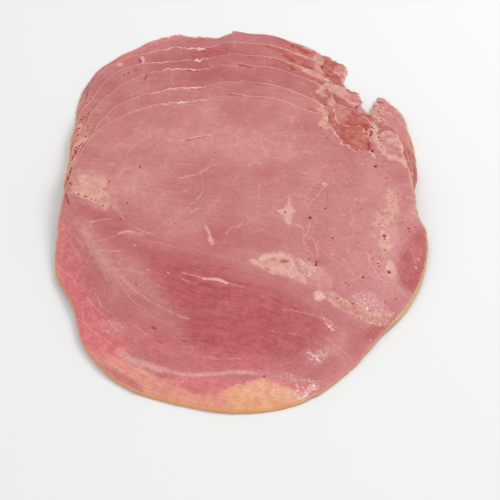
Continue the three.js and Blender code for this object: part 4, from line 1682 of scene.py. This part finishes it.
def add(tree: bpy.types.NodeTree, kind: str, links: dict | None = None, **settings) -> bpy.types.Node:
    """Adds a node with its settings and links.

    Args:
        tree: the node tree.
        kind: the node's type name.
        links: for each input, by name or number, the socket that feeds it or its own value.
        settings: the node's own properties.

    Returns:
        The node.
    """
    node = tree.nodes.new(kind)
    for name, value in settings.items():
        setattr(node, name, value)
    for name, source in (links or {}).items():
        if isinstance(source, bpy.types.NodeSocket):
            tree.links.new(source, node.inputs[name])
        else:
            node.inputs[name].default_value = source
    return node


def multiplied(tree: bpy.types.NodeTree, *amounts: object) -> object:
    """Multiplies amounts from 0 to 1.

    Args:
        tree: the node tree.
        amounts: each a socket, a number, or a tuple of a socket, its value where the amount is 0, its
            value where the amount is full, and how much that is, if it isn't 1.

    Returns:
        The product: a socket, or the only amount as it is.
    """
    total = None
    for amount in amounts:
        if isinstance(amount, tuple):
            value, low, high, most = (*amount, 1.0)[:4]
            amount = add(tree, "ShaderNodeMapRange", {"Value": value, "From Min": low, "From Max": high,
                                                      "To Max": most}).outputs[0]
        if total is not None:
            amount = add(tree, "ShaderNodeMath", {0: total, 1: amount}, operation="MULTIPLY").outputs[0]
        total = amount
    return total


def tinted(tree: bpy.types.NodeTree, colour: object, tint: object, *amounts: object) -> bpy.types.NodeSocket:
    """Lays a tint over a colour.

    Args:
        tree: the node tree.
        colour: the colour under it, a socket or an sRGB hex value.
        tint: a socket or an sRGB hex value.
        amounts: how much of it shows, multiplied together as above.

    Returns:
        The colour with the tint on it.
    """
    under, over = (linear(given) if isinstance(given, int) else given for given in (colour, tint))
    amount = multiplied(tree, *amounts)
    return add(tree, "ShaderNodeMix", {0: amount, 6: under, 7: over}, data_type="RGBA").outputs[2]


class Grain(Enum):
    """A random pattern that the finish is made from, with the distance between its blots in mm."""

    CLOUD = 20.0  # soft clouds over a muscle
    BLOT = 3.6  # blotches of fat and juice
    CRUMB = 1.3  # wiggles along the edges of the fat
    PEBBLE = 0.8  # cut fibre ends; the real ones, 0.2 mm, would be too fine to show


@dataclass(frozen=True)
class Layer:
    """One colour laid over the meat where an attribute of its mesh is high."""

    attribute: str
    light: int  # its lighter and darker colour, mottled together
    dark: int
    low: float  # the attribute's value where the layer starts
    high: float  # and where it covers fully
    cover: float = 1.0  # how much it hides what is under it
    ragged: float = 0.0  # how far the noise moves its edge, in the attribute's units
    edge: Grain = Grain.CRUMB  # the noise that moves its edge
    mottle: Grain = Grain.BLOT  # the noise that mottles it
    fibrous: float = 0.0  # how much of its mottling follows the fibres


@dataclass(frozen=True)
class Dots:
    """Small dots scattered over the meat."""

    spacing: float  # mm
    left_out: float  # the share of the dots that is left out
    radius: float  # in shares of the spacing
    tint: int
    only: str | None = None  # the attribute that says where they are, or None for everywhere
    along_fibres: bool = False  # drawn out along the fibres


@dataclass(frozen=True)
class Patterns:
    """The sockets that all of the finish shares."""

    place: bpy.types.NodeSocket  # in mm
    noises: dict[Grain, bpy.types.NodeSocket]
    fibres: bpy.types.NodeSocket
    fibre_place: bpy.types.NodeSocket  # along and across the fibres, in mm
    lower: bpy.types.NodeSocket  # 1 on the muscles under the long seam
    read: dict[str, bpy.types.NodeSocket]  # the attributes of the mesh


@dataclass(frozen=True)
class CuredMeat:
    """Cooked cured beef, cut thin: pink and fibrous, a little moist, with a tan rind."""

    muscle_light: int = 0xCE8A88
    muscle_dark: int = 0xBF6B6E
    vein: int = 0xDEA9A2
    # Moist meat is a soft gloss: light spreads under its surface and a film of juice gives dull glints.
    roughness: float = 0.44
    wet_roughness: float = 0.14
    ior: float = 1.4
    subsurface: float = 0.2
    subsurface_radius: tuple[float, float, float] = (1.0, 0.35, 0.25)  # red light goes furthest
    subsurface_scale: float = 0.0012  # metres
    fibre_height: float = 0.4  # of the relief's fibres, beside the pebbly grain's 1
    wrinkle_height: float = 4.0
    relief_strength: float = 0.4
    relief_depth: float = 0.0003  # metres
    fibre_width: float = 0.8  # mm; real fibre bundles of 0.3 mm would be too fine to show
    fibre_length: float = 22.0
    vein_spacing: float = 15.0
    vein_width: float = 0.04  # in shares of the spacing
    mottle_range: tuple[float, float] = (0.4, 0.6)  # of a noise, from all dark to all light
    golden: tuple[int, int] = (0xEEB28A, 0xE39A76)  # the yellowest fat, light and dark
    painted_sheen: int = 0xF6CCC6  # painted sheen: where the meat is wet it is a little paler
    painted_glint: int = 0xFAEFEA  # painted white glints in the wet places
    frayed_highlight: int = 0xF0CCBE  # pale fibres of a torn edge, with a painted highlight on them
    fray_depth: float = 1.7  # mm, how far in they reach at most
    # Dark and pale lines: the fibre noise where each starts and where it is full.
    fibre_lines: tuple[tuple[float, float, int], ...] = ((0.42, 0.3, 0xA03840), (0.56, 0.7, 0xD89A96))
    dots: tuple[Dots, ...] = (
        Dots(1.2, 0.4, 0.34, 0xA8433E, only="speck"),
        Dots(6.0, 0.6, 0.07, 0xA34440),
        Dots(3.2, 0.6, 0.1, 0xE3BDB6, along_fibres=True),
    )
    # The rind from salmon by golden and tan to olive, as stops of the ramp.
    rind_tones: tuple[tuple[float, int], ...] = (
        (0.1, 0xE09682), (0.36, 0xE0A068), (0.6, 0xDFB088), (0.85, 0xC6A070), (1.0, 0x9C7A52),
    )
    layers: tuple[Layer, ...] = (
        # Darker red over the lower slices: partly their own colour, partly painted shade under the slices
        # above.
        Layer("warmth_and_shade", 0xBE6866, 0xA6484A, 0.0, 1.0, cover=0.95, mottle=Grain.CLOUD),
        # Pale muscle, and the painted sheen of the soft clouds on the large muscle.
        Layer("pale", 0xDB9E9A, 0xCB8682, 0.0, 1.0, cover=0.75, ragged=0.3, edge=Grain.BLOT, fibrous=0.2),
        Layer("lean", 0xC46266, 0xA9414A, 0.0, 1.0, cover=0.92, ragged=0.12, edge=Grain.BLOT, fibrous=0.3),
        Layer("ruddy", 0xEA878A, 0xD9686E, 0.0, 1.0, cover=0.85, ragged=0.15, edge=Grain.BLOT, fibrous=0.25),
        Layer("salmon", 0xE68E88, 0xD87672, 0.0, 1.0, cover=0.85, ragged=0.3, edge=Grain.BLOT, fibrous=0.2),
        Layer("cap", 0xEAA28C, 0xDB8076, -1.4, 1.8, ragged=2.0, edge=Grain.BLOT, fibrous=0.5),
        Layer("fat", 0xE2AF9F, 0xD39587, -0.8, 1.1, cover=0.9, ragged=1.5, edge=Grain.BLOT),
        Layer("sinew", 0xCC786A, 0xAF5146, -0.7, 0.8, cover=0.93, ragged=2.0, edge=Grain.BLOT),
        # Whitish lines: veins, and a few painted glints and highlights.
        Layer("vein", 0xEABCB3, 0xDFA49C, 0.05, 0.87, cover=0.95, ragged=0.2, mottle=Grain.CRUMB),
        # Dark red gaps, and painted shade beside the edges of the slices above.
        Layer("slit_and_shade", 0xC04238, 0x9C2A24, 0.1, 0.85, cover=0.95, ragged=0.3),
        Layer("pit", 0xAC2A22, 0x8C1812, 0.22, 0.55),
    )

    def patterns(self, tree: bpy.types.NodeTree) -> Patterns:
        """Makes the shared noises and the fibres.

        Args:
            tree: the node tree.

        Returns:
            Their sockets.
        """
        where = add(tree, "ShaderNodeTexCoord")
        place = add(tree, "ShaderNodeVectorMath", {0: where.outputs["Object"], 1: (1000.0,) * 3},
                    operation="MULTIPLY").outputs[0]
        noises = {
            grain: add(tree, "ShaderNodeTexNoise", {"Vector": place, "Scale": 1.0 / grain.value,
                                                    "Detail": 3.0, "Roughness": 0.6}).outputs["Fac"]
            for grain in Grain
        }
        read = {
            name: add(tree, "ShaderNodeAttribute", attribute_name=name).outputs[output]
            for output, names in (("Fac", NUMBERS), ("Vector", DIRECTIONS))
            for name in names
        }
        lower = multiplied(tree, (read["lean"], 0.08, 0.3))
        upper_way, lower_way, edge_way = (read[name] for name in DIRECTIONS)
        way = add(tree, "ShaderNodeMix", {0: lower, 4: upper_way, 5: lower_way},
                  data_type="VECTOR").outputs[1]
        made = []
        for along in (upper_way, lower_way, edge_way):
            squeezed = add(tree, "ShaderNodeVectorMath", {
                0: along, 1: (1.0 / self.fibre_length, 1.0 / self.fibre_width, 0.0)}, operation="MULTIPLY")
            made.append(add(tree, "ShaderNodeTexNoise", {"Vector": squeezed.outputs[0], "Scale": 1.0,
                                                         "Detail": 3.0, "Roughness": 0.6}).outputs["Fac"])
        fibres = add(tree, "ShaderNodeMix", {0: lower, 2: made[0], 3: made[1]}, data_type="FLOAT").outputs[0]
        fibres = add(tree, "ShaderNodeMix", {0: read["along_front"], 2: fibres, 3: made[2]},
                     data_type="FLOAT").outputs[0]
        return Patterns(place, noises, fibres, way, lower, read)

    def mottled(self, tree: bpy.types.NodeTree, shared: Patterns, light: int, dark: int, mottle: Grain,
                fibrous: float) -> bpy.types.NodeSocket:
        """Two colours mottled together.

        Args:
            tree: the node tree.
            shared: the shared patterns.
            light: the lighter colour.
            dark: the darker colour.
            mottle: the noise that parts them.
            fibrous: how much of the parting follows the fibres, 0 to 1.

        Returns:
            The colour's socket.
        """
        both = add(tree, "ShaderNodeMix", {0: fibrous, 2: shared.noises[mottle], 3: shared.fibres},
                   data_type="FLOAT").outputs[0]
        fine = add(tree, "ShaderNodeMix", {0: 0.3, 2: both, 3: shared.noises[Grain.PEBBLE]},
                   data_type="FLOAT").outputs[0]
        return tinted(tree, dark, light, (fine, *self.mottle_range))

    def lay(self, tree: bpy.types.NodeTree, shared: Patterns, layer: Layer,
            colour: bpy.types.NodeSocket) -> bpy.types.NodeSocket:
        """Lays one layer over a colour.

        Args:
            tree: the node tree.
            shared: the shared patterns.
            layer: the layer.
            colour: the colour under it.

        Returns:
            The colour with the layer on it.
        """
        value = shared.read[layer.attribute]
        centred = add(tree, "ShaderNodeMath", {0: shared.noises[layer.edge], 1: -0.5}, operation="ADD")
        moved = add(tree, "ShaderNodeMath", {0: centred.outputs[0], 1: 2.0 * layer.ragged, 2: value},
                    operation="MULTIPLY_ADD")
        cover = add(tree, "ShaderNodeMapRange", {"Value": moved.outputs[0], "From Min": layer.low,
                                                 "From Max": layer.high, "To Max": layer.cover},
                    interpolation_type="SMOOTHSTEP")
        # Away from the layer's own places the noise can't bring it in.
        there = (value, layer.low - 1.0 if layer.low < 0.0 else 0.0, layer.low + 0.02)
        tint = self.mottled(tree, shared, layer.light, layer.dark, layer.mottle, layer.fibrous)
        return tinted(tree, colour, tint, cover.outputs[0], there)

    def material(self, name: str) -> bpy.types.Material:
        """Builds the finish.

        Args:
            name: the material's name.

        Returns:
            The material.
        """
        made = bpy.data.materials.new(name)
        made.use_nodes = True
        tree = made.node_tree
        tree.nodes.clear()
        shared = self.patterns(tree)
        colour = self.mottled(tree, shared, self.muscle_light, self.muscle_dark, Grain.CLOUD, 0.35)
        for layer in self.layers:
            colour = self.lay(tree, shared, layer, colour)
            if layer.attribute == "salmon":
                colour = self.veined(tree, shared, colour)
                colour = self.streaked(tree, shared, colour)
            if layer.attribute == "cap":
                golden = self.mottled(tree, shared, *self.golden, Grain.BLOT, 0.0)
                colour = tinted(tree, colour, golden, shared.read["gold"], (shared.read["cap"], -0.3, 1.0))
        colour = self.specks(tree, shared, colour)
        colour = self.rind(tree, shared, colour)
        roughness = add(tree, "ShaderNodeMapRange", {"Value": shared.read["wet"], "To Min": self.roughness,
                                                     "To Max": self.wet_roughness})
        shader = add(tree, "ShaderNodeBsdfPrincipled", {
            "Base Color": colour, "Roughness": roughness.outputs[0], "IOR": self.ior,
            "Subsurface Weight": self.subsurface, "Subsurface Radius": self.subsurface_radius,
            "Subsurface Scale": self.subsurface_scale, "Normal": self.relief(tree, shared),
        })
        out = add(tree, "ShaderNodeOutputMaterial", {"Surface": shader.outputs[0]})
        out.is_active_output = True
        return made

    def veined(self, tree: bpy.types.NodeTree, shared: Patterns,
               colour: bpy.types.NodeSocket) -> bpy.types.NodeSocket:
        """The faint net of thin pale veins on the upper muscles.

        Args:
            tree: the node tree.
            shared: the shared patterns.
            colour: the colour under it.

        Returns:
            The colour with the veins.
        """
        shake = add(tree, "ShaderNodeTexNoise", {"Vector": shared.place, "Scale": 0.09, "Detail": 3.0})
        moved = add(tree, "ShaderNodeVectorMath", {0: shake.outputs["Color"], 1: (12.0,) * 3,
                                                   2: shared.place}, operation="MULTIPLY_ADD")
        net = add(tree, "ShaderNodeTexVoronoi", {
            "Vector": moved.outputs[0], "Scale": 1.0 / self.vein_spacing,
        }, feature="DISTANCE_TO_EDGE", voronoi_dimensions="2D").outputs["Distance"]
        return tinted(
            tree, colour, self.vein,
            (net, self.vein_width, 0.0),
            (shared.noises[Grain.CLOUD], 0.42, 0.6, 0.75),
            (shared.lower, 1.0, 0.0),
            (shared.noises[Grain.CRUMB], 0.3, 0.6),
        )

    def streaked(self, tree: bpy.types.NodeTree, shared: Patterns,
                 colour: bpy.types.NodeSocket) -> bpy.types.NodeSocket:
        """Thin dark and pale lines along the fibres, strong on the lower muscles and faint elsewhere.

        Args:
            tree: the node tree.
            shared: the shared patterns.
            colour: the colour under it.

        Returns:
            The colour with the lines.
        """
        share = add(tree, "ShaderNodeMapRange", {"Value": shared.lower, "To Min": 0.1, "To Max": 0.32})
        calm = add(tree, "ShaderNodeMapRange", {"Value": shared.read["pale"], "To Min": 1.0,
                                                "To Max": 0.4}).outputs[0]
        patchy = multiplied(tree, (shared.noises[Grain.CLOUD], 0.36, 0.6), calm)
        for low, high, tint in self.fibre_lines:
            colour = tinted(tree, colour, tint, (shared.fibres, low, high), share.outputs[0], patchy)
        return colour

    def specks(self, tree: bpy.types.NodeTree, shared: Patterns,
               colour: bpy.types.NodeSocket) -> bpy.types.NodeSocket:
        """Fine red pits in the dotted fat, sparse red and pale flecks, and painted sheen and glints on wet
        places.

        Args:
            tree: the node tree.
            shared: the shared patterns.
            colour: the colour under it.

        Returns:
            The colour with the specks.
        """
        dashes = add(tree, "ShaderNodeVectorMath", {0: shared.fibre_place, 1: (0.3, 1.0, 0.0)},
                     operation="MULTIPLY").outputs[0]
        for dots in self.dots:
            where = dashes if dots.along_fibres else shared.place
            cells = add(tree, "ShaderNodeTexVoronoi", {"Vector": where, "Scale": 1.0 / dots.spacing})
            pick = add(tree, "ShaderNodeMath", {0: cells.outputs["Color"], 1: dots.left_out},
                       operation="GREATER_THAN").outputs[0]
            amounts = [(cells.outputs["Distance"], dots.radius, dots.radius * 0.5), pick]
            if dots.only:
                amounts.append(shared.read[dots.only])
            colour = tinted(tree, colour, dots.tint, *amounts)
        wet = shared.read["wet"]
        # Painted light on the wet places: a paler sheen, then white glints in smears.
        colour = tinted(tree, colour, self.painted_sheen, wet, 0.14)
        glint_smears = (shared.noises[Grain.CRUMB], 0.53, 0.66)
        return tinted(tree, colour, self.painted_glint, glint_smears, (shared.noises[Grain.PEBBLE], 0.42, 0.56), wet)

    def rind(self, tree: bpy.types.NodeTree, shared: Patterns,
             colour: bpy.types.NodeSocket) -> bpy.types.NodeSocket:
        """The rind over the edge, and the frayed pale fibres of its torn parts with a painted highlight on
        them.

        Args:
            tree: the node tree.
            shared: the shared patterns.
            colour: the colour without it.

        Returns:
            The colour with the rind: salmon at the left, golden at the front, tan and olive elsewhere.
        """
        rim, width, tone, strength, fray_highlight = (shared.read[name] for name in RIND_NUMBERS)
        blot, crumb = shared.noises[Grain.BLOT], shared.noises[Grain.CRUMB]
        reach = add(tree, "ShaderNodeMapRange", {"Value": crumb, "From Min": 0.3, "From Max": 0.7,
                                                 "To Min": 0.6, "To Max": 1.4}).outputs[0]
        share = add(tree, "ShaderNodeMath", {0: rim, 1: multiplied(tree, width, reach)},
                    operation="DIVIDE").outputs[0]
        centred = add(tree, "ShaderNodeMath", {0: blot, 1: -0.5}, operation="ADD").outputs[0]
        shifted = add(tree, "ShaderNodeMath", {0: centred, 1: 0.5, 2: tone}, operation="MULTIPLY_ADD")
        tones = add(tree, "ShaderNodeValToRGB", {0: shifted.outputs[0]})
        ramp = tones.color_ramp
        first, *others, last = self.rind_tones
        for element, (stop, tint) in zip(ramp.elements, (first, last)):
            element.position = stop
            element.color = linear(tint)
        for stop, tint in others:
            ramp.elements.new(stop).color = linear(tint)
        colour = tinted(tree, colour, tones.outputs[0], (share, 1.2, 0.7), strength)
        # Pale torn fibres, with a painted highlight along the frayed edge.
        frayed_in = multiplied(tree, (blot, 0.36, 0.62, self.fray_depth))
        depth = add(tree, "ShaderNodeMath", {0: rim, 1: frayed_in}, operation="SUBTRACT").outputs[0]
        return tinted(tree, colour, self.frayed_highlight, (depth, 0.5, -0.1), fray_highlight, (crumb, 0.36, 0.5))

    def relief(self, tree: bpy.types.NodeTree, shared: Patterns) -> bpy.types.NodeSocket:
        """The fine relief: fibres, a pebbly grain, and deeper wrinkles in the moist places.

        Args:
            tree: the node tree.
            shared: the shared patterns.

        Returns:
            The socket of the surface's direction.
        """
        deep = multiplied(tree, shared.noises[Grain.CRUMB], shared.read["wet"])
        grain = add(tree, "ShaderNodeMath", {0: shared.fibres, 1: self.fibre_height,
                                             2: shared.noises[Grain.PEBBLE]}, operation="MULTIPLY_ADD")
        total = add(tree, "ShaderNodeMath", {0: deep, 1: self.wrinkle_height, 2: grain.outputs[0]},
                    operation="MULTIPLY_ADD")
        bump = add(tree, "ShaderNodeBump", {"Height": total.outputs[0], "Strength": self.relief_strength,
                                            "Distance": self.relief_depth})
        return bump.outputs[0]


@dataclass(frozen=True)
class SaltBeef:
    """The whole fan of slices."""

    fan: Fan = Fan()

    def build(self) -> None:
        """Makes every slice in the place of its solid."""
        finish = CuredMeat().material("cured_beef")
        for index, plan in enumerate(SLICE_PLANS):
            piece = Slice(index, self.fan).build()
            piece.data.materials.append(finish)
            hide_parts(plan.node)
            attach(piece, "root")
            log.info("%s: %d triangles", piece.name, len(piece.data.polygons))


@dataclass(frozen=True)
class Studio:
    """The plain floor, the soft lights and the camera at the photo's viewing angle."""

    pitch_deg: float = 44.8  # how far the camera looks down
    camera_height: float = 439.5
    lens: float = 94.75
    camera_shift: tuple[float, float] = (4.09, -38.03)  # from the middle of the view to the fan's middle
    floor_size: float = 24.0  # metres
    floor_colour: int = 0xF1F1F1
    floor_drop: float = 0.00003  # metres, under the lowest slice
    sky_strength: float = 0.66

    def build(self) -> None:
        """Makes all of it."""
        self.floor()
        self.lights()
        self.camera()
        bpy.context.scene.view_settings.view_transform = "Standard"

    def floor(self) -> None:
        """A plain matt floor just under the lowest slice."""
        half = self.floor_size / 2
        mesh = bpy.data.meshes.new("floor")
        corners = [(-half, -half, 0.0), (half, -half, 0.0), (half, half, 0.0), (-half, half, 0.0)]
        mesh.from_pydata(corners, [], [(0, 1, 2, 3)])
        floor = bpy.data.objects.new("floor", mesh)
        floor.location.z = -self.floor_drop
        bpy.context.scene.collection.objects.link(floor)
        matt = bpy.data.materials.new("matt_floor")
        matt.use_nodes = True
        shader = matt.node_tree.nodes["Principled BSDF"]
        shader.inputs["Base Color"].default_value = linear(self.floor_colour)
        shader.inputs["Roughness"].default_value = 0.9
        shader.inputs["Specular IOR Level"].default_value = 0.2
        mesh.materials.append(matt)
        log.info("floor: %.0f m wide", self.floor_size)

    def lights(self) -> None:
        """An even sky, and one large soft light from the back right."""
        world = bpy.data.worlds.new("studio")
        bpy.context.scene.world = world
        world.use_nodes = True
        sky = world.node_tree.nodes["Background"]
        sky.inputs["Color"].default_value = (1.0, 1.0, 1.0, 1.0)
        sky.inputs["Strength"].default_value = self.sky_strength
        for name, place, size, power in (
            ("key", (0.85, 0.45, 0.95), 0.7, 8.0),
            ("fill", (-0.4, -0.9, 1.3), 1.2, 3.0),
        ):
            light = bpy.data.lights.new(name, "AREA")
            light.size = size
            light.energy = power
            lamp = bpy.data.objects.new(name, light)
            lamp.location = place
            lamp.rotation_mode = "QUATERNION"
            lamp.rotation_quaternion = (-Vector(place)).to_track_quat("-Z", "Y")
            bpy.context.scene.collection.objects.link(lamp)

    def camera(self) -> None:
        """The camera, level from side to side, in front of the fan and looking down at it."""
        pitch = math.radians(self.pitch_deg)
        data = bpy.data.cameras.new("camera")
        data.lens = self.lens
        data.sensor_width = 36.0
        data.clip_start = 0.01
        data.clip_end = 100.0
        camera = bpy.data.objects.new("camera", data)
        back = -self.camera_height / math.tan(pitch)
        side, along = self.camera_shift
        camera.location = Vector((side, back + along, self.camera_height)) * MM
        camera.rotation_euler = Matrix.Rotation(math.pi / 2 - pitch, 3, "X").to_euler()
        bpy.context.scene.collection.objects.link(camera)
        bpy.context.scene.camera = camera


def main() -> None:
    logging.basicConfig(level=logging.INFO, format="%(message)s")
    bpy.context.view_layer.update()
    Studio().build()
    SaltBeef().build()


if __name__ == "__main__":
    main()
